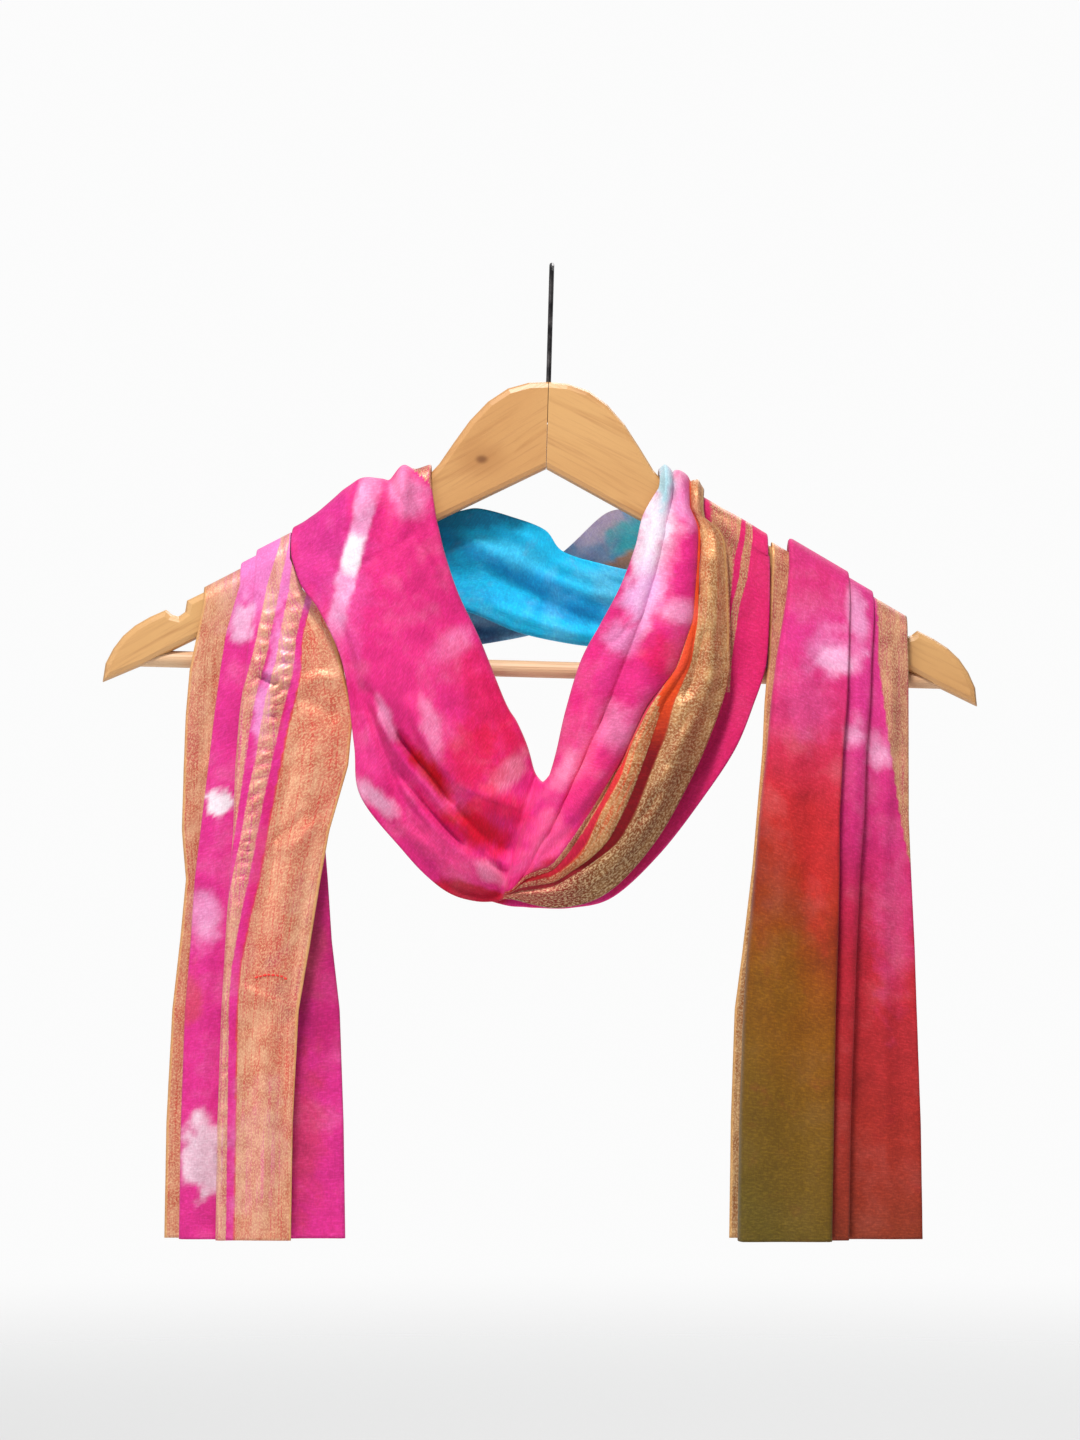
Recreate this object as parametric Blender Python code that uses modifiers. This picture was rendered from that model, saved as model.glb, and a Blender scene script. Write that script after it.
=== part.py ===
"""A stole wrapped once round a wooden coat hanger.

The cloth is one long strip. It is folded into a few flat legs, hangs down in front at both
ends, crosses twice behind the neck and makes one loop in front. Each stretch that shows is
its own wall. Sizes and tables are in millimetres, measured from the place where the hook
hangs on its rail: X to the right, Z up, and the front of the stole faces -Y.
"""
import math

import bmesh
import bpy
import numpy as np

MM = 0.001

# Hanger: driving sizes
ARM_THICK = 12.0
ARM_ROUND = 3.0
CROWN_DROP = 58.5
MITRE_GAP = 0.3
LEAN = math.radians(1.6)
BAR_RADIUS = 4.25
BAR_DROP = 205.2
BAR_HALF = 208.5
BAR_SEAT = 24.0
WIRE_RADIUS = 1.25
HOOK_RADIUS = 17.0
SHANK_DEPTH = 21.0
RUNNING_GAP = 0.3
HOOK_START = math.radians(-50)
HOOK_SWEEP = math.radians(245)
NECK_DROP = 1.85
NECK_PULL = 1.1
SAWN_BLOCK = (20.0, 120.0)

# Cloth: driving sizes
WALL = 1.1
FIRST_LAYER = 8.4
ARM_PITCH = 2.0
HEM_DROP = 494.0
SEAM_GAP = 0.4
MAX_TURN = 2.4
TURN_STEPS = (0.3, 0.7)
INNER_LAYERS = 3.6
BACK_LAYERS = 1.4
OPENING_OUT = 1.5
SWAY, SWAY_TURN = 1.2, 7.0
RIPPLE, RIPPLE_ACROSS, RIPPLE_DOWN = 0.5, 0.16, 5.0
FALL_SHARES = (0.03, 0.07, 0.12, 0.18, 0.25, 0.33, 0.42, 0.52, 0.63, 0.75, 0.87, 1.0)

# Folds of the strips behind the neck, as waves: size, turn across the strip, turn along it
CROSSING_WAVES = [
    (1.3, 9.0, 5.0),
    (0.78, 15.0, -7.0),
]
CROSSING_OVERLAP = 0.06

# Outline of the right half, hanger upright, run on a little past the mitre: x, z
ARM_OUTLINE = [
    (-4.0, -58.5), (10.0, -59.4), (20.5, -62.6), (30.5, -69.6), (39.5, -79.5), (47.5, -91.2),
    (54.5, -102.0), (60.6, -109.0), (172.0, -170.5), (181.0, -175.2), (181.8, -181.0),
    (185.0, -183.4), (188.6, -182.6), (191.5, -180.2), (199.5, -184.0), (207.0, -188.6),
    (213.0, -194.0), (217.8, -200.6), (221.6, -208.4), (222.8, -217.8),
    (202.0, -208.4), (187.0, -200.4), (52.5, -130.0), (0.0, -102.9), (-4.0, -102.9),
]

# Where the straight top edge would reach if it ran on over the strap notch: x, z
OVER_NOTCH = (194.0, -182.6)

# Left end, fold edges from the right selvedge inwards: z, then x of each edge
LEFT_END = [
    (-130, -132.6, -147, -137, -151, -136, -153),
    (-149, -132.8, -149, -136, -154, -137, -163),
    (-165, -126.5, -151, -132, -159, -133, -176),
    (-186, -112.0, -153, -124, -165, -123, -180),
    (-205, -105.5, -155, -119, -168, -117, -184),
    (-228, -100.5, -158, -115, -171, -111, -186),
    (-254, -103.0, -160, -119, -174, -112, -187),
    (-287, -112.5, -161, -125, -178, -116, -188),
    (-312, -117.0, -163, -129, -181, -114, -186),
    (-343, -122.0, -165, -132, -183, -112, -189),
    (-378, -128.0, -167, -136, -186, -108, -193),
    (-435, -131.0, -169, -138, -188, -106, -196),
    (-500, -132.0, -170, -139, -189, -105, -197),
]

# Right end, fold edges from the left selvedge: z, then x of each edge
RIGHT_END = [
    (-130, 112, 147, 121, 151, 127, 164, 144, 178),
    (-149, 112, 147, 121, 151, 127, 164, 144, 178),
    (-170, 111, 147, 119, 151, 128, 164, 146, 180),
    (-199, 110, 147, 114, 150, 127, 162, 144, 181),
    (-223, 108, 147, 111, 149, 126, 161, 143, 181),
    (-246, 107, 146, 109, 147, 124, 159, 142, 181),
    (-281, 104, 145, 105, 145, 121, 158, 139, 181),
    (-305, 102, 144, 103, 145, 120, 156, 137, 182),
    (-348, 97, 143, 99, 144, 117, 154, 133, 184),
    (-378, 93, 141, 97, 143, 116, 153, 131, 185),
    (-435, 91, 140, 95, 142, 115, 151, 129, 187),
    (-500, 90, 139, 94, 141, 114, 150, 128, 188),
]

# Loop in front. Each row is a station along the cloth: inner edge, front outer edge and back
# outer edge (x, z each), then how far in front of the hanger the cloth stands at the inner
# and outer edge, the same for its back leg, the crown of the front leg, and the lengths
# tucked behind the outer edge and behind the back edge.
LOOP_RIGHT = [
    (46.5, -127.0, 87.0, -138.0, 108.6, -150.0, 11.5, 15.5, 8.6, 10.6, 2, 5, 22),
    (42.5, -143.0, 89.0, -154.0, 108.4, -166.0, 13.5, 17.0, 8.8, 11.2, 4, 6, 24),
    (35.0, -163.0, 89.8, -174.0, 107.5, -186.0, 15.5, 18.0, 9.2, 11.8, 6, 7, 26),
    (25.0, -182.0, 90.0, -192.0, 106.0, -204.0, 17.5, 19.5, 9.6, 12.2, 8, 8, 28),
    (15.0, -200.5, 89.0, -211.0, 101.0, -222.0, 19.0, 20.5, 10.0, 12.5, 9, 8, 30),
    (7.2, -225.8, 82.0, -233.5, 93.2, -245.0, 21.0, 22.0, 10.5, 13.0, 9, 9, 30),
    (2.6, -246.0, 70.5, -260.0, 77.5, -269.0, 23.0, 23.0, 11.0, 13.5, 9, 10, 28),
    (-0.6, -257.5, 52.0, -292.5, 55.2, -298.0, 25.0, 24.0, 11.5, 14.0, 8, 12, 26),
    (-2.0, -260.0, 28.0, -318.0, 31.0, -320.5, 26.0, 24.5, 12.0, 14.0, 6, 14, 24),
    (-3.4, -261.6, 3.0, -325.6, 10.0, -326.0, 27.0, 26.0, 12.0, 14.0, 4, 16, 22),
    (-5.0, -262.2, -21.0, -321.0, -8.0, -326.0, 28.0, 28.0, 12.0, 14.0, 3, 18, 22),
]
LOOP_LEFT = [
    (-7.6, -259.4, -27.5, -322.4, -14.0, -325.6, 20.5, 20.0, 12.0, 13.0, 3, 20, 22),
    (-9.4, -255.5, -38.0, -322.5, -22.0, -325.0, 20.5, 20.0, 12.0, 13.0, 4, 24, 24),
    (-12.6, -244.0, -50.5, -319.0, -33.0, -322.0, 21.0, 20.5, 12.0, 13.0, 6, 28, 26),
    (-17.8, -232.0, -62.0, -310.8, -46.0, -317.0, 20.5, 21.0, 11.5, 13.0, 8, 30, 28),
    (-23.9, -221.5, -75.0, -297.0, -58.0, -306.0, 20.0, 22.0, 11.0, 13.0, 9, 32, 30),
    (-36.6, -190.1, -96.5, -269.5, -76.0, -284.0, 18.0, 23.0, 10.0, 12.5, 9, 32, 30),
    (-47.3, -167.6, -99.8, -243.0, -90.0, -254.0, 16.0, 24.5, 9.5, 12.0, 8, 30, 28),
    (-54.0, -148.3, -105.4, -203.0, -97.0, -214.0, 14.0, 25.5, 9.2, 12.0, 6, 26, 26),
    (-57.2, -135.5, -117.2, -176.0, -110.0, -184.0, 12.5, 25.0, 8.8, 11.5, 4, 22, 24),
    (-59.0, -127.5, -126.5, -163.0, -119.0, -168.0, 11.4, 22.5, 8.6, 11.0, 3, 20, 22),
]

# Seams behind the arms: x of the inner and outer end, and how far each lies under the wood's top
SEAM_LEFT_INNER = (-62.0, -131.5, 11.0, 15.0)
SEAM_LEFT_OUTER = (-135.0, -175.0, 18.0, 20.0)
SEAM_RIGHT_INNER = (55.0, 108.5, 11.0, 14.5)
SEAM_RIGHT_OUTER = (112.5, 178.5, 18.0, 20.0)

# Edges of the two arm crossings of the loop: x of inner, front outer and back outer edge
OVER_RIGHT = (54.5, 77.5, 108.8)
OVER_LEFT = (-61.5, -131.8, -124.0)

# Long folds of the loop's front leg. Station numbers run from the right back seam to the
# left one, and place runs from the outer edge (0) to the inner edge (1).
LOOP_FOLDS = [
    # first, last, place first, place last, height, inner width, outer width
    (1.0, 12.5, 0.60, 0.66, 7.0, 0.08, 0.15),
    (1.0, 13.0, 0.22, 0.34, 6.5, 0.06, 0.13),
    (3.0, 11.5, 0.86, 0.88, 4.0, 0.09, 0.07),
    (5.0, 13.5, 0.06, 0.12, 3.5, 0.06, 0.07),
    (16.5, 21.5, 0.22, 0.14, 6.5, 0.05, 0.11),
    (16.0, 23.0, 0.44, 0.32, 7.5, 0.06, 0.12),
    (16.5, 21.0, 0.70, 0.58, 5.0, 0.07, 0.13),
    (20.0, 28.0, 0.98, 0.72, 6.5, 0.09, 0.13),
    (22.0, 29.0, 0.48, 0.50, 7.0, 0.17, 0.20),
    (24.0, 29.0, 0.20, 0.20, 4.5, 0.12, 0.12),
]

# Strip behind the neck that shows bright blue: upper edge, lower edge (x, z), depth, pitch
CROSSING_BLUE = [
    (-57.0, -124.0, -120.0, -167.0, 8.6, 2.1),
    (-48.0, -124.0, -98.0, -171.0, 9.2, 2.3),
    (-37.6, -122.5, -73.0, -173.0, 10.0, 2.6),
    (-21.3, -126.5, -45.0, -174.8, 11.5, 3.2),
    (-3.5, -133.4, -17.0, -185.8, 13.0, 3.6),
    (6.0, -144.5, 10.8, -191.8, 14.0, 3.8),
    (28.2, -151.4, 34.8, -194.4, 14.0, 3.8),
    (56.0, -158.0, 62.0, -199.0, 13.0, 3.6),
    (82.0, -168.0, 94.0, -205.0, 11.5, 3.2),
    (101.0, -174.0, 130.0, -211.0, 10.0, 2.7),
    (108.5, -171.0, 156.0, -213.0, 9.2, 2.4),
]

# Strip behind it, lilac and turquoise: same columns
CROSSING_UNDER = [
    (-128.0, -178.0, -162.0, -199.0, 9.2, 2.2),
    (-108.0, -180.0, -134.0, -204.0, 13.0, 2.5),
    (-80.0, -176.0, -96.0, -202.0, 20.0, 2.8),
    (-41.7, -168.0, -50.0, -194.0, 27.0, 3.0),
    (-16.2, -160.5, -6.0, -185.5, 29.0, 3.0),
    (6.7, -143.5, 22.5, -172.0, 28.0, 3.0),
    (27.0, -125.0, 48.0, -158.0, 26.0, 2.8),
    (40.0, -122.5, 74.0, -162.0, 20.5, 3.0),
    (49.5, -123.0, 96.0, -166.0, 13.0, 2.8),
]


def clear_scene():
    for scene_object in list(bpy.data.objects):
        bpy.data.objects.remove(scene_object)


def new_collection(name):
    collection = bpy.data.collections.new(name)
    bpy.context.scene.collection.children.link(collection)
    return collection


def material(name, colour, roughness, metallic=0.0):
    finish = bpy.data.materials.new(name)
    finish.use_nodes = True
    shader = finish.node_tree.nodes["Principled BSDF"]
    shader.inputs["Base Color"].default_value = (*colour, 1.0)
    shader.inputs["Roughness"].default_value = roughness
    shader.inputs["Metallic"].default_value = metallic
    return finish


def lean(x, z):
    """A point of the upright hanger after the hanger has tipped on its hook."""
    return (x * math.cos(LEAN) + z * math.sin(LEAN), z * math.cos(LEAN) - x * math.sin(LEAN))


def arm_top(x):
    """Height of the wood's top edge under the cloth, hanger leaning, its notches bridged."""
    top_edge = ARM_OUTLINE[:8] + [OVER_NOTCH]
    right = [lean(px, pz) for px, pz in top_edge]
    left = [lean(-px, pz) for px, pz in top_edge]
    edge = left[::-1] + right[1:]
    return float(np.interp(x, [point[0] for point in edge], [point[1] for point in edge]))


def smooth_rows(rows, steps):
    """Rows read along a smooth curve through a table, with the given steps between rows."""
    table = np.array(rows, dtype=float)
    padded = np.vstack([2 * table[0] - table[1], table, 2 * table[-1] - table[-2]])
    result = []
    stations = []
    for i in range(len(table) - 1):
        before, start, end, after = padded[i:i + 4]
        for j in range(steps[i]):
            t = j / steps[i]
            bend = (2 * before - 5 * start + 4 * end - after) * t * t
            bend += (3 * start - before - 3 * end + after) * t ** 3
            result.append(start + 0.5 * ((end - before) * t + bend))
            stations.append(i + t)
    result.append(table[-1])
    stations.append(len(table) - 1.0)
    return np.array(result), stations


def cross_section(edges, levels, angle, samples, bump=None):
    """One section of folded cloth: flat legs between fold edges, joined by round turns.

    edges are (x, z) anchors, levels the (start, end) stand-off of each leg, and angle says
    which way the stand-off points: -90 behind the hanger, 0 up, 90 in front.
    """
    out = np.array([0.0, -math.sin(angle), math.cos(angle)])
    anchors = [np.array([x, 0.0, z]) for x, z in edges]
    points = []
    for k in range(len(anchors) - 1):
        start, end = anchors[k], anchors[k + 1]
        length = np.linalg.norm(end - start)
        along = (end - start) / length
        turn_before = abs(levels[k][0] - levels[k - 1][1]) / 2 if k else 0.0
        turn_after = abs(levels[k + 1][0] - levels[k][1]) / 2 if k + 2 < len(anchors) else 0.0
        reach_before = min(turn_before, MAX_TURN)
        reach_after = min(turn_after, MAX_TURN)
        for a in np.linspace(reach_before / length, 1 - reach_after / length, samples[k]):
            level = levels[k][0] + (levels[k][1] - levels[k][0]) * a
            if bump:
                level += bump(k, a)
            points.append(start + (end - start) * a + out * level)
        if turn_after:
            first = levels[k][1] + (bump(k, 1.0) if bump else 0.0)
            last = levels[k + 1][0] + (bump(k + 1, 0.0) if bump else 0.0)
            for share in TURN_STEPS:
                swing = math.sin(math.pi * share) * reach_after - reach_after
                level = (first + last) / 2 + (first - last) / 2 * math.cos(math.pi * share)
                points.append(end + along * swing + out * level)
    return points


def cloth(name, sections, colour, collection):
    """A wall of cloth through its sections."""
    rows, columns = len(sections), len(sections[0])
    mesh = bpy.data.meshes.new(name)
    build = bmesh.new()
    grid = [[build.verts.new(point * MM) for point in section] for section in sections]
    for i in range(rows - 1):
        for j in range(columns - 1):
            build.faces.new((grid[i][j], grid[i + 1][j], grid[i + 1][j + 1], grid[i][j + 1]))
    build.to_mesh(mesh)
    build.free()
    mesh.shade_smooth()
    piece = bpy.data.objects.new(name, mesh)
    piece.data.materials.append(material(name + "_finish", colour, 0.55))
    collection.objects.link(piece)
    wall = piece.modifiers.new("wall", "SOLIDIFY")
    wall.thickness = WALL * MM
    wall.offset = 0.0
    return piece


def seam_height(seam, x):
    """Height of the seam behind an arm: a straight line between its inner and outer end."""
    inner, outer, inner_drop, outer_drop = seam
    ends = sorted([(inner, arm_top(inner) - inner_drop), (outer, arm_top(outer) - outer_drop)])
    (x0, z0), (x1, z1) = ends
    return z0 + (z1 - z0) * (x - x0) / (x1 - x0)


def end_piece(name, table, order, seam, colour, collection):
    """A hanging end: from behind the arm, over it, and down in front to the hem.

    order gives the layer of each leg, 0 lying on the wood.
    """
    heights = [-row[0] for row in table]
    edge_count = len(table[0]) - 1
    layers = max(order)

    def edge_x(k, z):
        return float(np.interp(-z, heights, [row[k + 1] for row in table]))

    falls = [(-90, -1.0), (-90, 0.0), (-45, 0.0), (0, 0.0), (45, 0.0), (90, 0.0)]
    falls += [(90, share) for share in FALL_SHARES]
    sections = []
    for degrees, share in falls:
        edges = []
        for k in range(edge_count):
            x = edge_x(k, table[0][0])
            for _ in range(4):
                top = arm_top(x) - ARM_THICK / 2
                if share < 0:
                    z = seam_height(seam, x) + SEAM_GAP
                else:
                    z = top + (-HEM_DROP - top) * share
                x = edge_x(k, top if share <= 0 else z)
            edges.append((x, z))
        down = max(share, 0.0)
        pitch = ARM_PITCH + OPENING_OUT * min(1.0, down * 2)
        swing = SWAY * math.sin(SWAY_TURN * down) * min(1.0, down * 3)
        levels = []
        for layer in order:
            level = FIRST_LAYER + layer * pitch + swing * (layers - layer + 2) / (layers + 2)
            levels.append((level, level))

        def bump(k, a, down=down, edges=edges):
            x = edges[k][0] + (edges[k + 1][0] - edges[k][0]) * a
            return RIPPLE * min(1.0, down * 6) * math.sin(x * RIPPLE_ACROSS + down * RIPPLE_DOWN)

        samples = [6 if layer == layers else 4 for layer in order]
        sections.append(cross_section(edges, levels, math.radians(degrees), samples, bump))
    return cloth(name, sections, colour, collection)


def arm_station(over, angle, seam, tucks, levels):
    """A loop station where the cloth lies over an arm, or its seam behind it."""
    row = []
    for x in over:
        row += [x, seam_height(seam, x) + SEAM_GAP if seam else arm_top(x) - ARM_THICK / 2]
    return tuple(row) + levels + tucks + (angle,)


def loop_piece(collection):
    """The loop in front, from behind the right arm round to behind the left arm."""
    inner_fold = (FIRST_LAYER + ARM_PITCH, FIRST_LAYER + INNER_LAYERS * ARM_PITCH)
    over_wood = inner_fold + (FIRST_LAYER, FIRST_LAYER + BACK_LAYERS * ARM_PITCH)
    tucks_right, tucks_left = (0.0, 5.0, 20.0), (0.0, 9.0, 18.0)
    rows = [arm_station(OVER_RIGHT, -90, SEAM_RIGHT_INNER, tucks_right, over_wood)]
    rows += [arm_station(OVER_RIGHT, angle, None, tucks_right, over_wood) for angle in (-90, 0, 90)]
    rows += [row + (90,) for row in LOOP_RIGHT + LOOP_LEFT]
    rows += [arm_station(OVER_LEFT, angle, None, tucks_left, over_wood) for angle in (90, 0, -90)]
    rows.append(arm_station(OVER_LEFT, -90, SEAM_LEFT_INNER, tucks_left, over_wood))
    steps = [1, 4, 4] + [2] * 8 + [1] * 6 + [2] * 6 + [1, 2, 4, 4, 1]
    table, stations = smooth_rows(rows, steps)
    sections = []
    for row, station in zip(table, stations):
        inner, outer, back = row[0:2], row[2:4], row[4:6]
        inner_front, outer_front, inner_back, outer_back, crown, tuck, tail = row[6:13]
        tucked = outer + (inner - outer) * tuck / np.linalg.norm(inner - outer)
        trailed = back + (inner - back) * tail / np.linalg.norm(inner - back)
        edges = [tucked, outer, inner, back, trailed]
        tuck_fall = max(0.0, outer_front - inner_front) * tuck / np.linalg.norm(inner - outer)
        tail_fall = (outer_back - inner_back) * tail / np.linalg.norm(inner - back)
        levels = [
            (outer_front - ARM_PITCH - tuck_fall, outer_front - ARM_PITCH),
            (outer_front, inner_front),
            (inner_back, outer_back),
            (outer_back - ARM_PITCH, outer_back - ARM_PITCH - tail_fall),
        ]

        def bump(k, a, station=station, crown=crown):
            if k != 1:
                return 0.0
            return crown * 4 * a * (1 - a) + fold_height(station, a)

        angle = math.radians(max(-90.0, min(90.0, row[13])))
        sections.append(cross_section(edges, levels, angle, (3, 13, 6, 3), bump))
    return cloth("loop_front", sections, (0.75, 0.02, 0.2), collection)


def fold_height(station, place):
    """Height that the long folds add to the loop's front leg."""
    height = 0.0
    for first, last, place_first, place_last, tall, inner, outer in LOOP_FOLDS:
        if first < station < last:
            share = (station - first) / (last - first)
            centre = place_first + (place_last - place_first) * share
            width = inner if place > centre else outer
            ends = math.sin(math.pi * share) ** 0.6
            height += tall * ends * math.exp(-((place - centre) / width) ** 2)
    return height * min(1.0, 8 * place, 8 * (1 - place))


def crossing_piece(name, table, left_seam, right_seam, colour, collection):
    """A strip behind the neck: three legs that sag from one arm to the other."""
    def seam_row(seam):
        inner, outer = seam[:2]
        inner_z, outer_z = seam_height(seam, inner), seam_height(seam, outer)
        return (inner, inner_z - SEAM_GAP, outer, outer_z - SEAM_GAP, FIRST_LAYER, ARM_PITCH)

    rows = [seam_row(left_seam)] + list(table) + [seam_row(right_seam)]
    table, stations = smooth_rows(rows, [2] * (len(rows) - 1))
    sections = []
    for row, station in zip(table, stations):
        upper, lower, depth, pitch = row[0:2], row[2:4], row[4], row[5]
        middle = upper + (lower - upper) * CROSSING_OVERLAP
        levels = [(depth, depth), (depth + pitch, depth + pitch), (depth + 2 * pitch, depth + 2 * pitch)]
        across = len(rows) - 1

        def bump(k, a, share=station / across):
            place = a if k != 1 else 1 - a
            wave = 0.0
            for size, turn_across, turn_along in CROSSING_WAVES:
                wave += size * math.sin(turn_across * place + turn_along * share)
            return math.sin(math.pi * share) * math.sin(math.pi * place) * wave

        edges = [upper, lower, middle, lower]
        sections.append(cross_section(edges, levels, math.radians(-90), (7, 5, 5), bump))
    return cloth(name, sections, colour, collection)


def move_to(collection, piece):
    for old in piece.users_collection:
        old.objects.unlink(piece)
    collection.objects.link(piece)


def as_cutter(name, centre, pivot, collection):
    """The last primitive becomes a hidden tool that leans with the hanger."""
    piece = bpy.context.object
    piece.name = name
    piece.location = [value * MM for value in centre]
    piece.parent = pivot
    piece.hide_render = True
    piece.display_type = "WIRE"
    move_to(collection, piece)
    return piece


def bar_bore(side, pivot, collection):
    """A blind hole in an arm for one end of the trouser bar."""
    radius = BAR_RADIUS + RUNNING_GAP
    bpy.ops.mesh.primitive_cylinder_add(vertices=20, radius=radius * MM, depth=BAR_SEAT * MM)
    bpy.context.object.rotation_euler = (0, math.pi / 2, 0)
    centre = (side * (BAR_HALF + RUNNING_GAP - BAR_SEAT / 2), 0, -BAR_DROP)
    return as_cutter("bar_bore", centre, pivot, collection)


def shank_bore(pivot, collection):
    """The hole down the mitre for the hook's shank, open at the top."""
    depth = SHANK_DEPTH + 2.0
    radius = WIRE_RADIUS + RUNNING_GAP
    bpy.ops.mesh.primitive_cylinder_add(vertices=20, radius=radius * MM, depth=depth * MM)
    return as_cutter("shank_bore", (0, 0, 2.0 - CROWN_DROP - depth / 2), pivot, collection)


def mitre_cut(side, pivot, collection):
    """The block sawn off one arm at the mitre."""
    width, height = SAWN_BLOCK
    bpy.ops.mesh.primitive_cube_add(size=1)
    block = bpy.context.object.data
    for vertex in block.vertices:
        vertex.co.x *= width * MM
        vertex.co.y *= 2 * ARM_THICK * MM
        vertex.co.z *= height * MM
    centre = (side * (MITRE_GAP / 2 - width / 2), 0, -CROWN_DROP)
    return as_cutter("mitre_cut", centre, pivot, collection)


def arm(name, side, tools, finish, pivot, collection):
    """One half of the wooden hanger, sawn from a board and rounded over."""
    curve = bpy.data.curves.new(name, "CURVE")
    curve.dimensions = "2D"
    curve.fill_mode = "BOTH"
    curve.extrude = (ARM_THICK / 2 - ARM_ROUND) * MM
    curve.bevel_depth = ARM_ROUND * MM
    curve.bevel_resolution = 1
    curve.offset = -ARM_ROUND * MM
    spline = curve.splines.new("POLY")
    spline.points.add(len(ARM_OUTLINE) - 1)
    for point, (x, z) in zip(spline.points, ARM_OUTLINE):
        point.co = (side * x * MM, z * MM, 0, 1)
    spline.use_cyclic_u = True
    guide = bpy.data.objects.new(name + "_outline", curve)
    collection.objects.link(guide)
    guide.rotation_euler = (math.pi / 2, 0, 0)
    bpy.context.view_layer.update()
    mesh = bpy.data.meshes.new_from_object(guide.evaluated_get(bpy.context.evaluated_depsgraph_get()))
    mesh.transform(guide.matrix_world)
    bpy.data.objects.remove(guide)
    build = bmesh.new()
    build.from_mesh(mesh)
    bmesh.ops.remove_doubles(build, verts=build.verts, dist=0.00001)
    bmesh.ops.recalc_face_normals(build, faces=build.faces)
    build.to_mesh(mesh)
    build.free()
    mesh.name = name
    mesh.shade_smooth()
    mesh.set_sharp_from_angle(angle=math.radians(35))
    mesh.materials.clear()
    mesh.materials.append(finish)
    piece = bpy.data.objects.new(name, mesh)
    collection.objects.link(piece)
    for tool in tools:
        cut = piece.modifiers.new(tool.name, "BOOLEAN")
        cut.operation = "DIFFERENCE"
        cut.object = tool
    piece.parent = pivot
    return piece


def hook(finish, pivot, collection):
    """The wire hook: a shank up from the wood, a neck and most of a circle."""
    curve = bpy.data.curves.new("hook", "CURVE")
    curve.dimensions = "3D"
    curve.bevel_depth = WIRE_RADIUS * MM
    curve.bevel_resolution = 2
    curve.use_fill_caps = True
    centre_z = WIRE_RADIUS - HOOK_RADIUS
    neck_z = centre_z - HOOK_RADIUS * NECK_DROP
    route = [(0.0, -CROWN_DROP - SHANK_DEPTH + RUNNING_GAP), (0.0, -CROWN_DROP), (0.0, neck_z)]
    join = np.array([math.cos(HOOK_START), math.sin(HOOK_START)]) * HOOK_RADIUS + (0, centre_z)
    pull = HOOK_RADIUS * NECK_PULL
    for i in range(1, 6):
        t = i / 6
        place = np.array([0.0, neck_z]) * (2 * t ** 3 - 3 * t * t + 1) + join * (3 * t * t - 2 * t ** 3)
        place = place + np.array([0.0, pull]) * (t ** 3 - 2 * t * t + t)
        place = place + np.array([-math.sin(HOOK_START), math.cos(HOOK_START)]) * pull * (t ** 3 - t * t)
        route.append(tuple(place))
    for i in range(17):
        turn = HOOK_START + HOOK_SWEEP * i / 16
        route.append((HOOK_RADIUS * math.cos(turn), centre_z + HOOK_RADIUS * math.sin(turn)))
    spline = curve.splines.new("POLY")
    spline.points.add(len(route) - 1)
    for point, (y, z) in zip(spline.points, route):
        point.co = (0, y * MM, z * MM, 1)
    curve.materials.append(finish)
    piece = bpy.data.objects.new("hook", curve)
    collection.objects.link(piece)
    piece.parent = pivot
    return piece


def trouser_bar(finish, pivot, collection):
    bpy.ops.mesh.primitive_cylinder_add(vertices=20, radius=BAR_RADIUS * MM, depth=2 * BAR_HALF * MM)
    piece = bpy.context.object
    piece.name = "trouser_bar"
    piece.rotation_euler = (0, math.pi / 2, 0)
    piece.location = (0, 0, -BAR_DROP * MM)
    move_to(collection, piece)
    piece.data.materials.append(finish)
    piece.data.shade_smooth()
    piece.data.set_sharp_from_angle(angle=math.radians(35))
    piece.parent = pivot
    return piece


def build_hanger(collection, cutters):
    pivot = bpy.data.objects.new("hanger_pivot", None)
    collection.objects.link(pivot)
    pivot.rotation_euler = (0, LEAN, 0)
    wood = material("planed_wood", (0.72, 0.42, 0.17), 0.5)
    wire = material("plated_wire", (0.25, 0.25, 0.26), 0.3, 1.0)
    shank_hole = shank_bore(pivot, cutters)
    for name, side in (("arm_left", -1), ("arm_right", 1)):
        tools = [mitre_cut(side, pivot, cutters), bar_bore(side, pivot, cutters), shank_hole]
        arm(name, side, tools, wood, pivot, collection)
    trouser_bar(wood, pivot, collection)
    hook(wire, pivot, collection)


def build_stole(collection):
    gold, red = (0.7, 0.3, 0.2), (0.6, 0.03, 0.08)
    blue, teal = (0.0, 0.3, 0.7), (0.15, 0.5, 0.6)
    end_piece("end_left", LEFT_END, (4, 3, 2, 1, 0), SEAM_LEFT_OUTER, gold, collection)
    end_piece("end_right", RIGHT_END, (0, 1, 6, 5, 4, 3, 2), SEAM_RIGHT_OUTER, red, collection)
    loop_piece(collection)
    crossing_piece("crossing_blue", CROSSING_BLUE, SEAM_LEFT_INNER, SEAM_RIGHT_OUTER, blue, collection)
    crossing_piece("crossing_under", CROSSING_UNDER, SEAM_LEFT_OUTER, SEAM_RIGHT_INNER, teal, collection)


def main():
    clear_scene()
    parts = new_collection("stole_on_hanger")
    cutters = new_collection("cutters")
    build_hanger(parts, cutters)
    build_stole(parts)


main()
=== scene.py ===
"""Looks of a tie-dyed stole with woven gold borders, wrapped once round a wooden coat hanger.

The cloth is laid in sections across its width: flat legs between fold edges, joined by round
turns. Lengths in the tables are in millimetres from the top of the hook, X to the right and Z
up, and the front faces -Y.
"""
import math

import bpy
import numpy as np
from mathutils import Matrix


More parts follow.
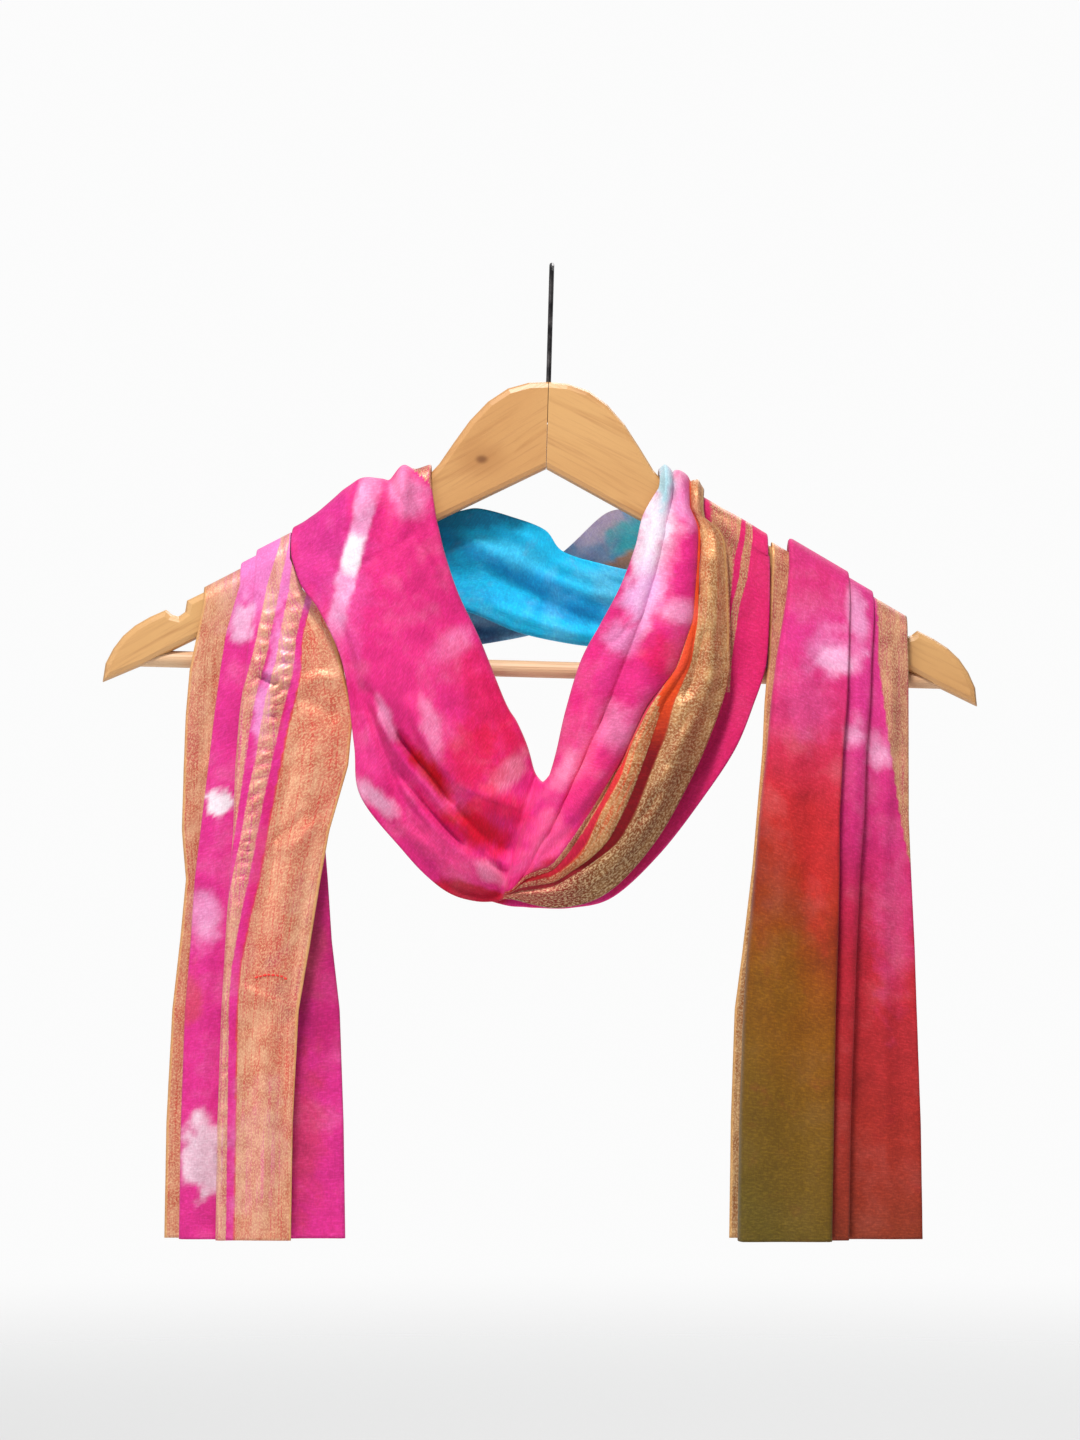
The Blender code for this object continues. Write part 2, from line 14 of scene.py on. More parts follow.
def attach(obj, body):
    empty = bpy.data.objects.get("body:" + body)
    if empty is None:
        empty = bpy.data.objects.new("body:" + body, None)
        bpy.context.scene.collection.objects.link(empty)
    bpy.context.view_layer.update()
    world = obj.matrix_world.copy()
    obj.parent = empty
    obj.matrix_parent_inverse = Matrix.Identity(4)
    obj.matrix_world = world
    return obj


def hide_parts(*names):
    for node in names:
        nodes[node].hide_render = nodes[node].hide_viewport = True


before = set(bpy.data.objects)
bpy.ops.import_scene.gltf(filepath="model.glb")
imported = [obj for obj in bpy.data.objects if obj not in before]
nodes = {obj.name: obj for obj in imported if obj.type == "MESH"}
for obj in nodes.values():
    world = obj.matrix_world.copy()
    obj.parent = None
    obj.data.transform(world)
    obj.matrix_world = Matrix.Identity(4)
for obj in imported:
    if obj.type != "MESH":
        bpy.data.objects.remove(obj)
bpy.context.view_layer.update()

# Camera, floor and light.
# The photo looks straight at the hanger from a few metres away, on white. The floor is a pale
# disc well under the hems that fades out, and three soft lamps stand round the camera.
MM = 0.001
VIEW_HEIGHT = 734.4
VIEW_CENTRE = (-6.0, -230.9)
VIEW_DISTANCE = 2500.0
FLOOR_DROP = 760.0

camera_data = bpy.data.cameras.new("camera")
camera_data.lens = camera_data.sensor_width * VIEW_DISTANCE / VIEW_HEIGHT
camera = bpy.data.objects.new("camera", camera_data)
bpy.context.scene.collection.objects.link(camera)
camera.location = (VIEW_CENTRE[0] * MM, -VIEW_DISTANCE * MM, VIEW_CENTRE[1] * MM)
camera.rotation_euler = (math.pi / 2, 0, 0)
bpy.context.scene.camera = camera
bpy.context.scene.view_settings.view_transform = "Standard"


def lamp(name, place, target, size, power, tint):
    """A soft square lamp that points at its target."""
    data = bpy.data.lights.new(name, "AREA")
    data.size = size
    data.energy = power
    data.color = tint
    light = bpy.data.objects.new(name, data)
    bpy.context.scene.collection.objects.link(light)
    light.location = place
    x, y, z = np.array(target) - np.array(place)
    light.rotation_euler = (math.atan2(math.hypot(x, y), -z), 0, math.atan2(y, x) - math.pi / 2)


lamp("key", (-0.25, -1.05, 1.45), (0, 0, -0.25), 0.35, 40.0, (1.0, 0.98, 0.95))
lamp("fill", (-1.5, -1.8, 0.0), (0, 0, -0.3), 1.2, 9.0, (0.97, 0.98, 1.0))
lamp("rim", (0.4, 1.4, 0.9), (0, 0, -0.2), 0.9, 12.0, (1.0, 1.0, 1.0))


def add_node(tree, kind, links=(), **values):
    """A node with its settings, and links as (socket, source) pairs."""
    node = tree.nodes.new(kind)
    for key, value in values.items():
        setattr(node, key, value)
    for socket, source in links:
        if isinstance(source, bpy.types.NodeSocket):
            tree.links.new(source, node.inputs[socket])
        else:
            node.inputs[socket].default_value = source
    return node


world = bpy.data.worlds.new("studio")
bpy.context.scene.world = world
world.use_nodes = True
sky = world.node_tree
sky.nodes.clear()
seen = add_node(sky, "ShaderNodeBackground", [("Color", (0.97, 0.97, 0.97, 1)), ("Strength", 1.0)])
shining = add_node(sky, "ShaderNodeBackground", [("Color", (0.96, 0.98, 1.0, 1)), ("Strength", 0.34)])
ray = add_node(sky, "ShaderNodeLightPath").outputs["Is Camera Ray"]
either = add_node(sky, "ShaderNodeMixShader", [(0, ray), (1, shining.outputs[0]), (2, seen.outputs[0])])
add_node(sky, "ShaderNodeOutputWorld", [(0, either.outputs[0])])


class Finish:
    """A material whose nodes are added one after the other, ending in one Principled shader."""

    def __init__(self, name, **sockets):
        self.material = bpy.data.materials.new(name)
        self.material.use_nodes = True
        self.tree = self.material.node_tree
        self.shader = self.tree.nodes["Principled BSDF"]
        for socket, value in sockets.items():
            self.shader.inputs[socket.replace("_", " ")].default_value = value

    def node(self, kind, links=(), **values):
        return add_node(self.tree, "ShaderNode" + kind, links, **values)

    def place(self):
        """Where a point lies on its object, in metres."""
        return self.node("TexCoord").outputs["Object"]

    def math(self, operation, *sources):
        return self.node("Math", enumerate(sources), operation=operation).outputs[0]

    def length(self, vector):
        return self.node("VectorMath", [(0, vector)], operation="LENGTH").outputs["Value"]

    def noise(self, vector, scale, detail=2.0, roughness=0.5, stretch=(1, 1, 1)):
        """Noise from 0 to 1, stretched by scaling the coordinates."""
        spread = self.node("Mapping", [("Vector", vector), ("Scale", stretch)]).outputs[0]
        links = zip(("Vector", "Scale", "Detail", "Roughness"), (spread, scale, detail, roughness))
        return self.node("TexNoise", links).outputs["Fac"]

    def between(self, source, low, high, start=0.0, end=1.0):
        """The source read from low..high onto start..end, smoothly and with no overshoot."""
        links = zip(("Value", "From Min", "From Max", "To Min", "To Max"), (source, low, high, start, end))
        return self.node("MapRange", links, interpolation_type="SMOOTHSTEP").outputs[0]

    def mix(self, share, first, second, way="MIX"):
        links = [(0, share), (6, first), (7, second)]
        return self.node("Mix", links, data_type="RGBA", blend_type=way).outputs[2]

    def to_shader(self, socket, source):
        self.tree.links.new(source, self.shader.inputs[socket])

    def bump(self, height, distance, strength=1.0, under=None):
        links = [("Height", height), ("Distance", distance), ("Strength", strength)]
        if under is not None:
            links.append(("Normal", under))
        return self.node("Bump", links).outputs[0]


def display(red, green, blue):
    """A colour given as it shows on screen, 0 to 255, as the shader's own numbers."""
    parts = [((c / 255 + 0.055) / 1.055) ** 2.4 if c > 10 else c / 3295 for c in (red, green, blue)]
    return tuple(parts) + (1.0,)


bpy.ops.mesh.primitive_circle_add(vertices=96, radius=2.6, fill_type="NGON", location=(0, 0, 0))
floor = bpy.context.object
floor.name = "floor"
floor.data.transform(Matrix.Translation((0, 0, -FLOOR_DROP * MM)))
pale = Finish("pale_floor", Base_Color=display(238, 238, 238), Roughness=0.9)
pale.to_shader("Alpha", pale.between(pale.length(pale.place()), 0.9, 2.4, 1.0, 0.0))
floor.data.materials.append(pale.material)

# The arms of the hanger.
# Two boards of pale wood, sawn to shape, joined at the mitre and lacquered. The grain
# runs along each arm, and the left arm has one small knot.
LEAN = math.radians(1.6)
ARM_SLOPE = math.radians(29)
KNOT = (-35.6, -98.3)


def wood_finish(name, slope, knot=None):
    """Lacquered wood with its grain at a slope, and a knot where one is given."""
    wood = Finish(name, Roughness=0.42, Coat_Weight=0.25, Coat_Roughness=0.3)
    place = wood.place()
    turned = wood.node("Mapping", [("Vector", place), ("Rotation", (0, slope, 0))]).outputs[0]
    drift = wood.math("MULTIPLY", wood.noise(turned, 9.0, 2.0, 0.5, (0.5, 1, 1.6)), 0.03)
    bent = wood.node("VectorMath", [(0, turned), (1, drift)], operation="ADD").outputs[0]
    grain = wood.noise(bent, 60.0, 4.0, 0.6, (0.12, 3, 3.2))
    fibre = wood.noise(turned, 900.0, 2.0, 0.6, (0.035, 1, 1))
    cloud = wood.noise(turned, 14.0, 2.0, 0.5, (0.4, 1, 1.2))
    light, mid, dark = display(216, 166, 106), display(204, 150, 92), display(172, 114, 62)
    colour = wood.mix(wood.between(cloud, 0.3, 0.7), light, mid)
    colour = wood.mix(wood.between(grain, 0.5, 0.74, 0.0, 0.45), colour, dark)
    colour = wood.mix(wood.between(fibre, 0.5, 0.75, 0.0, 0.32), colour, dark)
    if knot:
        shift = (-knot[0] * MM, 0, -knot[1] * MM)
        centred = wood.node("Mapping", [("Vector", place), ("Location", shift)]).outputs[0]
        squeeze = [("Vector", centred), ("Rotation", (0, slope, 0)), ("Scale", (0.9, 0.2, 1.3))]
        reach = wood.length(wood.node("Mapping", squeeze).outputs[0])
        colour = wood.mix(wood.between(reach, 0.002, 0.017, 0.5, 0.0), colour, dark)
        colour = wood.mix(wood.between(reach, 0.0012, 0.0042, 0.85, 0.0), colour, display(120, 72, 34))
    wood.to_shader("Base Color", colour)
    wood.to_shader("Roughness", wood.between(fibre, 0.3, 0.8, 0.38, 0.52))
    wood.to_shader("Normal", wood.bump(fibre, 0.00012, 0.5))
    return wood.material


def refinish(name, material):
    """Gives a solid of the hanger its material."""
    nodes[name].data.materials.clear()
    nodes[name].data.materials.append(material)


refinish("arm_left", wood_finish("wood_left", ARM_SLOPE + LEAN, KNOT))
refinish("arm_right", wood_finish("wood_right", LEAN - ARM_SLOPE))

# The dark line of the mitre: painted shade.
# Where the two arms meet below the hook's shank, a thin plate of dark brown fills the gap
# between the boards and stands in for the shade inside the narrow joint.
SHADE_PLATE_THICK, SHADE_PLATE_DEEP = 0.26, 11.0
SHADE_PLATE_TOP, SHADE_PLATE_FOOT = -80.5, -102.2
bpy.ops.mesh.primitive_cube_add(size=1)
mitre_shade_plate = bpy.context.object
mitre_shade_plate.name = "mitre_painted_shade"
mitre_shade_plate.data.transform(Matrix.Diagonal((SHADE_PLATE_THICK * MM, SHADE_PLATE_DEEP * MM, (SHADE_PLATE_TOP - SHADE_PLATE_FOOT) * MM, 1)))
mitre_shade_plate.data.transform(Matrix.Translation((0, 0, (SHADE_PLATE_TOP + SHADE_PLATE_FOOT) / 2 * MM)))
mitre_shade_plate.data.transform(Matrix.Rotation(LEAN, 4, "Y"))
painted_mitre_shade = Finish("painted_mitre_shade", Roughness=0.6)
shade_plate_mottle = painted_mitre_shade.noise(painted_mitre_shade.place(), 300.0, 2.0, 0.6)
# Two dark browns, mottled a little: the painted shade of the joint.
painted_mitre_shade.to_shader("Base Color", painted_mitre_shade.mix(shade_plate_mottle, display(98, 60, 30), display(142, 94, 52)))
mitre_shade_plate.data.materials.append(painted_mitre_shade.material)
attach(mitre_shade_plate, "root")

# The trouser bar.
# A round dowel let into both arms, paler than the boards, with its grain along its length.
bar = Finish("bar_wood", Roughness=0.5)
bar_place = bar.place()
bar_fibre = bar.noise(bar_place, 1100.0, 3.0, 0.6, (0.02, 1, 1))
bar_cloud = bar.noise(bar_place, 30.0, 2.0, 0.5, (0.3, 1, 1))
bar_colour = bar.mix(bar.between(bar_cloud, 0.3, 0.7), display(226, 190, 150), display(206, 150, 108))
bar_colour = bar.mix(bar.between(bar_fibre, 0.5, 0.8, 0.0, 0.5), bar_colour, display(150, 98, 62))
bar.to_shader("Base Color", bar_colour)
bar.to_shader("Normal", bar.bump(bar_fibre, 0.0001, 0.6))
refinish("trouser_bar", bar.material)

# The hook.
# One length of plated wire, bent cold and pressed into the mitre. Its plating is dull and a
# little worn where it rides on the rail.
wire = Finish("hook_wire", Metallic=0.9, Roughness=0.35)
wire_place = wire.place()
wire_marks = wire.noise(wire_place, 700.0, 3.0, 0.6)
wire_worn = wire.noise(wire_place, 90.0, 2.0, 0.5)
wire_colour = wire.mix(wire.between(wire_worn, 0.4, 0.7), display(48, 46, 48), display(92, 88, 88))
wire.to_shader("Base Color", wire_colour)
wire.to_shader("Roughness", wire.between(wire_marks, 0.3, 0.7, 0.28, 0.5))
refinish("hook", wire.material)

# The strip behind, seen lilac and turquoise.
# It runs from the left arm's back, well behind the neck, up to the right arm's inner part.
# It is part of the one silk-cotton strip, dyed in patches and folded into three legs.
ARM_THICK = 12.0
FIRST_LAYER = 8.4
ARM_PITCH = 2.0
SEAM_GAP = 0.4
HEM_DROP = 494.0
MAX_TURN = 2.4
TURN_STEPS = (0.18, 0.34, 0.5, 0.66, 0.82)
CLOTH_THICK = 0.5
FINE_STEP = 1.9
TOP_EDGE = [
    (0.0, -58.5), (10.0, -59.4), (20.5, -62.6), (30.5, -69.6), (39.5, -79.5), (47.5, -91.2),
    (54.5, -102.0), (60.6, -109.0), (194.0, -182.6),
]
SEAM_LEFT_INNER = (-62.0, -131.5, 11.0, 15.0)
SEAM_LEFT_OUTER = (-135.0, -175.0, 18.0, 20.0)
SEAM_RIGHT_INNER = (55.0, 108.5, 11.0, 14.5)
SEAM_RIGHT_OUTER = (112.5, 178.5, 18.0, 20.0)
CROSSING_UNDER = [
    (-128.0, -178.0, -162.0, -199.0, 9.2, 2.2),
    (-108.0, -180.0, -134.0, -204.0, 13.0, 2.5),
    (-80.0, -176.0, -96.0, -202.0, 20.0, 2.8),
    (-41.7, -168.0, -50.0, -194.0, 27.0, 3.0),
    (-16.2, -160.5, -6.0, -185.5, 29.0, 3.0),
    (6.7, -143.5, 22.5, -172.0, 28.0, 3.0),
    (27.0, -125.0, 48.0, -158.0, 26.0, 2.8),
    (40.0, -122.5, 74.0, -162.0, 20.5, 3.0),
    (49.5, -123.0, 96.0, -166.0, 13.0, 2.8),
]


def lean(x, z):
    """A point of the upright hanger after the hanger has tipped on its hook."""
    return (x * math.cos(LEAN) + z * math.sin(LEAN), z * math.cos(LEAN) - x * math.sin(LEAN))


TOP_LINE = [lean(-x, z) for x, z in TOP_EDGE[::-1]] + [lean(x, z) for x, z in TOP_EDGE[1:]]


def arm_top(x):
    """Height of the wood's top edge under the cloth, its notches bridged."""
    return float(np.interp(x, [point[0] for point in TOP_LINE], [point[1] for point in TOP_LINE]))


def seam_height(seam, x):
    """Height of the seam behind an arm: a straight line between its inner and outer end."""
    inner, outer, inner_drop, outer_drop = seam
    ends = sorted([(inner, arm_top(inner) - inner_drop), (outer, arm_top(outer) - outer_drop)])
    (x0, z0), (x1, z1) = ends
    return z0 + (z1 - z0) * (x - x0) / (x1 - x0)


def smooth_rows(rows, steps):
    """Rows read along a smooth curve through a table, with the given steps between rows."""
    table = np.array(rows, dtype=float)
    padded = np.vstack([2 * table[0] - table[1], table, 2 * table[-1] - table[-2]])
    result = []
    stations = []
    for i, count in enumerate(steps):
        before, start, end, after = padded[i:i + 4]
        t = np.arange(count)[:, None] / count
        bend = (2 * before - 5 * start + 4 * end - after) * t * t
        bend += (3 * start - before - 3 * end + after) * t ** 3
        result.append(start + 0.5 * ((end - before) * t + bend))
        stations.append(i + t[:, 0])
    return np.vstack(result + [table[-1:]]), np.append(np.concatenate(stations), len(table) - 1.0)


def lay(edges, levels, angles, places):
    """Rows of folded cloth: points, the leg of each column (a half in a turn), place, way out.

    edges are the fold edges (x, z) of every row, levels the stand-off of each leg at its two
    ends, angles the way the stand-off points (-90 behind, 0 up, 90 in front), and places where
    the columns of each leg lie, from 0 at its first edge to 1 at its second.
    """
    rows, legs = levels.shape[:2]
    out = np.stack([0 * angles, -np.sin(angles), np.cos(angles)], 1)
    anchors = np.stack([edges[:, :, 0], 0 * edges[:, :, 0], edges[:, :, 1]], 2)
    points, leg_of, place_of = [], [], []
    for k in range(legs):
        start, end = anchors[:, k], anchors[:, k + 1]
        length = np.linalg.norm(end - start, axis=1)
        along = (end - start) / length[:, None]
        before = abs(levels[:, k, 0] - levels[:, k - 1, 1]) / 2 if k else np.zeros(rows)
        after = abs(levels[:, k + 1, 0] - levels[:, k, 1]) / 2 if k + 1 < legs else np.zeros(rows)
        before, after = np.minimum(before, MAX_TURN) / length, np.minimum(after, MAX_TURN) / length
        for j in range(places[k].shape[1]):
            a = before + places[k][:, j] * (1 - before - after)
            level = levels[:, k, 0] + (levels[:, k, 1] - levels[:, k, 0]) * a
            points.append(start + (end - start) * a[:, None] + out * level[:, None])
            leg_of.append(float(k))
            place_of.append(a)
        if k + 1 < legs:
            reach = after * length
            first, last = levels[:, k, 1], levels[:, k + 1, 0]
            for share in TURN_STEPS:
                swing = (math.sin(math.pi * share) - 1) * reach
                level = (first + last) / 2 + (first - last) / 2 * math.cos(math.pi * share)
                points.append(end + along * swing[:, None] + out * level[:, None])
                leg_of.append(k + 0.5)
                place_of.append(np.full(rows, share))
    return np.stack(points, 1), np.array(leg_of), np.stack(place_of, 1), out


def even(rows, count):
    """Evenly spaced columns, the same in every row."""
    return np.tile(np.linspace(0, 1, count), (rows, 1))


def soft_noise(x, y, size, seed):
    """Smooth noise from -1 to 1 with grains of one size."""
    table = np.random.RandomState(seed).uniform(-1, 1, (64, 64))
    u, v = np.asarray(x) / size, np.asarray(y) / size
    i, j = np.floor(u).astype(int), np.floor(v).astype(int)
    s, t = u - i, v - j
    s, t = s * s * (3 - 2 * s), t * t * (3 - 2 * t)
    corner = [table[(i + di) % 64, (j + dj) % 64] for di in (0, 1) for dj in (0, 1)]
    near = corner[0] * (1 - t) + corner[1] * t
    far = corner[2] * (1 - t) + corner[3] * t
    return near * (1 - s) + far * s


def along_line(x, z, line):
    """How far points lie to the left of a line (right is negative), and where along it, 0 to 1."""
    line = np.array(line, dtype=float)
    lengths = np.linalg.norm(line[1:] - line[:-1], axis=1)
    done = np.concatenate([[0], np.cumsum(lengths)])
    best = np.full(x.shape, 1e9)
    side = np.zeros(x.shape)
    share = np.zeros(x.shape)
    for i, length in enumerate(lengths):
        dx, dz = (line[i + 1] - line[i]) / length
        px, pz = x - line[i, 0], z - line[i, 1]
        t = np.clip(px * dx + pz * dz, 0, length)
        gap = np.hypot(px - t * dx, pz - t * dz)
        nearer = gap < best
        best = np.where(nearer, gap, best)
        side = np.where(nearer, np.sign(dx * pz - dz * px) * gap, side)
        share = np.where(nearer, (done[i] + t) / done[-1], share)
    return side, share


def crease(x, z, line, height, left, right):
    """A soft ridge (or trough, where the height is negative) along a line, fading at its ends."""
    side, share = along_line(x, z, line)
    width = np.where(side > 0, left, right)
    taper = np.clip(np.minimum(share, 1 - share) * 5, 0, 1)
    ends = np.clip(1 - (np.abs(side) / (3 * width)) ** 2, 0, 1)
    return height * taper * (2 - taper) * np.exp(-(side / width) ** 2) * ends


def ridges(x, z, rows):
    """The creases of a table added up: rows of line, height, and width to the left and right."""
    return sum(crease(x, z, *row) for row in rows)


def raise_cloth(points, legs, out, lift):
    """Moves the flat of each leg out by its lift, and leaves the turns alone."""
    points += out[:, None, :] * np.where(legs % 1 == 0, lift, 0.0)[..., None]


def ramp(value, start, end):
    """0 before the start, 1 after the end, and even between them."""
    return np.clip((value - start) / (end - start), 0, 1)


def blend(first, second, share):
    """The first value mixed with a share of the second."""
    return first * (1 - share) + second * share


def tone(red, green, blue):
    """A colour given as it shows on screen, as an array."""
    return np.array(display(red, green, blue)[:3])


def ragged_noise(x, z, seed, grains):
    """Noises of several grains added up: each grain's size and share."""
    return sum(share * soft_noise(x, z, size, seed + i) for i, (size, share) in enumerate(grains))


def wash_over(x, z, ground, dye_and_light_washes, seed):
    """Colour of points: a ground, then each wash with its ragged edge (dye, and in some tables painted
    shade and painted highlights), then paler and darker clouds.
    """
    colour = ground * np.ones(x.shape + (1,))
    wobble = ragged_noise(x, z, seed, ((9.0, 0.30), (4.2, 0.26), (1.9, 0.15)))
    for cx, cz, wide, tall, turn, softness, tint, strength in dye_and_light_washes:
        angle = math.radians(turn)
        dx = (x - cx) * math.cos(angle) + (z - cz) * math.sin(angle)
        dz = (z - cz) * math.cos(angle) - (x - cx) * math.sin(angle)
        reach = np.sqrt((dx / wide) ** 2 + (dz / tall) ** 2) + wobble
        cover = np.clip((1 - reach) / softness + 0.5, 0, 1)
        colour = blend(colour, tint, (strength * cover * cover * (3 - 2 * cover))[..., None])
    cloud = ragged_noise(x, z, seed + 3, ((16.0, 0.5), (6.0, 0.3), (2.4, 0.2)))[..., None]
    deepest = colour.max(axis=-1, keepdims=True)
    paler = colour + (0.62 - 0.5 * colour) * 0.2 * deepest ** 1.5 * np.clip(cloud, 0, 1)
    return paler * (1 - 0.30 * np.clip(-cloud, 0, 1))


def paint_washes(x, z, ground, dye_and_light_washes, seed):
    """Washes from a table: x, z, half width, half height, turn, softness, screen colour, strength."""
    return wash_over(x, z, ground, [row[:6] + (tone(*row[6]), row[7]) for row in dye_and_light_washes], seed)


def stripe(colour, x, z, line, wide, tint, strength, seed):
    """A pale stripe left by a folded and bound line, with a ragged edge."""
    side, share = along_line(x, z, line)
    ragged = ragged_noise(x, z, seed, ((5.0, 0.18), (2.0, 0.12)))
    cover = np.clip((1 - np.abs(side) / wide + ragged) / 0.45 + 0.2, 0, 1)
    cover = cover * np.clip(np.minimum(share, 1 - share) * 6, 0, 1) * np.clip(strength + ragged, 0, 1)
    return blend(colour, tone(*tint), cover[..., None])


# Where the gold lies, in millimetres from the selvedge inwards. PLAIN is a place past all of it
BORDER_WIDE, PLAIN = 29.5, 90.0
GOLD_BANDS = [(0.0, BORDER_WIDE), (35.0, 43.0), (48.0, 55.0)]
GOLD_REACH, GOLD_FADE = 60.0, 0.5


def cloth_finish(name, weave_seed, gold_dark, gold_light, dyed_share):
    """Silk-cotton: dyed plain weave, with bands of gold thread woven in along the selvedge."""
    silk = Finish(name, Roughness=0.62, Sheen_Weight=0.08, Sheen_Roughness=0.45, Specular_IOR_Level=0.22)
    across = silk.node("UVMap", uv_map="threads").outputs[0]
    # The dye attribute carries the dye, with painted shade and highlights on some pieces; its alpha is the
    # dye share over the gold, which also paints shade into pucker hollows.
    dye_and_painted_light = silk.node("Attribute", attribute_name="dye_and_painted_light")
    dye_and_light_colour, dye_and_shade_over_gold = dye_and_painted_light.outputs["Color"], dye_and_painted_light.outputs["Alpha"]

    def grains(wide, tall, detail=3.0, roughness=0.6):
        """Noise with so many grains to a metre across the cloth and along it."""
        return silk.noise(across, 1.0, detail, roughness, (wide, tall, 1))

    from_edge = silk.node("Attribute", attribute_name="from_selvedge").outputs["Fac"]
    wander = silk.math("SUBTRACT", silk.noise(across, 420.0, 2.0, 0.6), 0.5)
    from_edge = silk.math("ADD", from_edge, silk.math("MULTIPLY", wander, 1.1))
    gold_ramp = silk.node("ValToRGB", [(0, silk.math("DIVIDE", from_edge, GOLD_REACH))])
    gold = gold_ramp.outputs["Color"]
    bands = gold_ramp.color_ramp.elements
    while len(bands) > 1:
        bands.remove(bands[-1])
    bands[0].position = 0.0
    bands[0].color = (1, 1, 1, 1)
    for low, high in GOLD_BANDS:
        for place, value in ((low - GOLD_FADE, 0), (low, 1), (high, 1), (high + GOLD_FADE, 0)):
            if place > 0:
                bands.new(place / GOLD_REACH).color = (value, value, value, 1)
    patch = silk.between(grains(110, 70, 4.0, 0.65), 0.34, 0.66)
    zari = silk.mix(patch, display(*gold_dark), display(*gold_light))
    zari = silk.mix(silk.between(grains(1000, 18, 3.0, 0.65), 0.48, 0.66, 0.0, 0.8), zari, dye_and_light_colour)
    zari = silk.mix(silk.between(grains(330, 9), 0.5, 0.7, 0.0, 0.22), zari, dye_and_light_colour)
    zari = silk.mix(silk.math("ADD", dye_and_shade_over_gold, dyed_share), zari, dye_and_light_colour)
    # Pale gold specks mixed into the zari are painted glints: painted highlights of light on the metal
    # thread.
    painted_glint = silk.between(grains(1150, 860, 2.0, 0.75), 0.44, 0.64, 0.0, 0.44)
    zari = silk.mix(painted_glint, zari, display(255, 228, 176))
    zari = silk.mix(silk.between(from_edge, 0.9, 1.5, 0.6, 0.0), zari, display(230, 176, 108))
    channels = silk.node("SeparateColor", [("Color", dye_and_light_colour)]).outputs
    undyed = silk.math("MINIMUM", silk.math("MINIMUM", channels[0], channels[1]), channels[2])
    frayed = silk.math("MULTIPLY", undyed, grains(210, 300, 4.0, 0.65))
    field = silk.mix(silk.between(frayed, 0.16, 0.4, 0.0, 0.3), dye_and_light_colour, display(250, 236, 246))
    warp, weft = grains(1500, 420), grains(420, 1000)
    mottle = silk.noise(across, 60.0 + weave_seed, 3.0, 0.6)
    field = silk.mix(silk.between(warp, 0.35, 0.7, 0.0, 0.16), field, (0.02, 0.0, 0.01, 1))
    field = silk.mix(silk.between(weft, 0.42, 0.72, 0.0, 0.55), field, field, "SCREEN")
    field = silk.mix(silk.between(mottle, 0.55, 0.8, 0.0, 0.12), field, (0.5, 0.0, 0.05, 1))
    silk.to_shader("Base Color", silk.mix(gold, field, zari))
    silk.to_shader("Metallic", silk.math("MULTIPLY", gold, 0.26))
    silk.to_shader("Roughness", silk.node("Mix", [(0, gold), (2, 0.66), (3, 0.44)]).outputs[0])
    fine = silk.bump(silk.math("ADD", warp, weft), 0.00022, 0.55)
    crumple = silk.noise(across, 150.0, 3.0, 0.55)
    silk.to_shader("Normal", silk.bump(crumple, 0.0011, 0.5, fine))
    return silk.material


def make_cloth(name, node, points, dye_and_painted_light, from_selvedge, finish, dye_and_shade_over_gold=0.0):
    """A thin wall of cloth through the points, with its threads' directions, its dye with any painted shade
    and highlights, and borders.
    """
    rows, columns = points.shape[:2]
    mesh = bpy.data.meshes.new(name)
    index = np.arange(rows * columns).reshape(rows, columns)
    corners = [index[:-1, :-1], index[1:, :-1], index[1:, 1:], index[:-1, 1:]]
    faces = np.stack([c.ravel() for c in corners], 1)
    mesh.from_pydata((points.reshape(-1, 3) * MM).tolist(), [], faces.tolist())
    across = np.linalg.norm(np.diff(points, axis=1), axis=2).mean(0)
    down = np.linalg.norm(np.diff(points, axis=0), axis=2).mean(1)
    u = np.tile(np.append(0, np.cumsum(across)), (rows, 1)).ravel() * MM
    v = np.tile(np.append(0, np.cumsum(down))[:, None], (1, columns)).ravel() * MM
    loops = faces.ravel()
    layer = mesh.uv_layers.new(name="threads")
    layer.data.foreach_set("uv", np.stack([u[loops], v[loops]], 1).ravel())
    dye_share = dye_and_shade_over_gold * np.ones((rows, columns))
    colours = mesh.attributes.new("dye_and_painted_light", "FLOAT_COLOR", "POINT")
    colours.data.foreach_set("color", np.concatenate([dye_and_painted_light, dye_share[..., None]], 2).ravel())
    edge = mesh.attributes.new("from_selvedge", "FLOAT", "POINT")
    edge.data.foreach_set("value", from_selvedge.ravel())
    mesh.shade_smooth()
    piece = bpy.data.objects.new(name, mesh)
    bpy.context.scene.collection.objects.link(piece)
    mesh.materials.append(finish)
    wall = piece.modifiers.new("thickness", "SOLIDIFY")
    wall.thickness = CLOTH_THICK * MM
    wall.offset = 0.0
    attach(piece, "root")
    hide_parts(node)


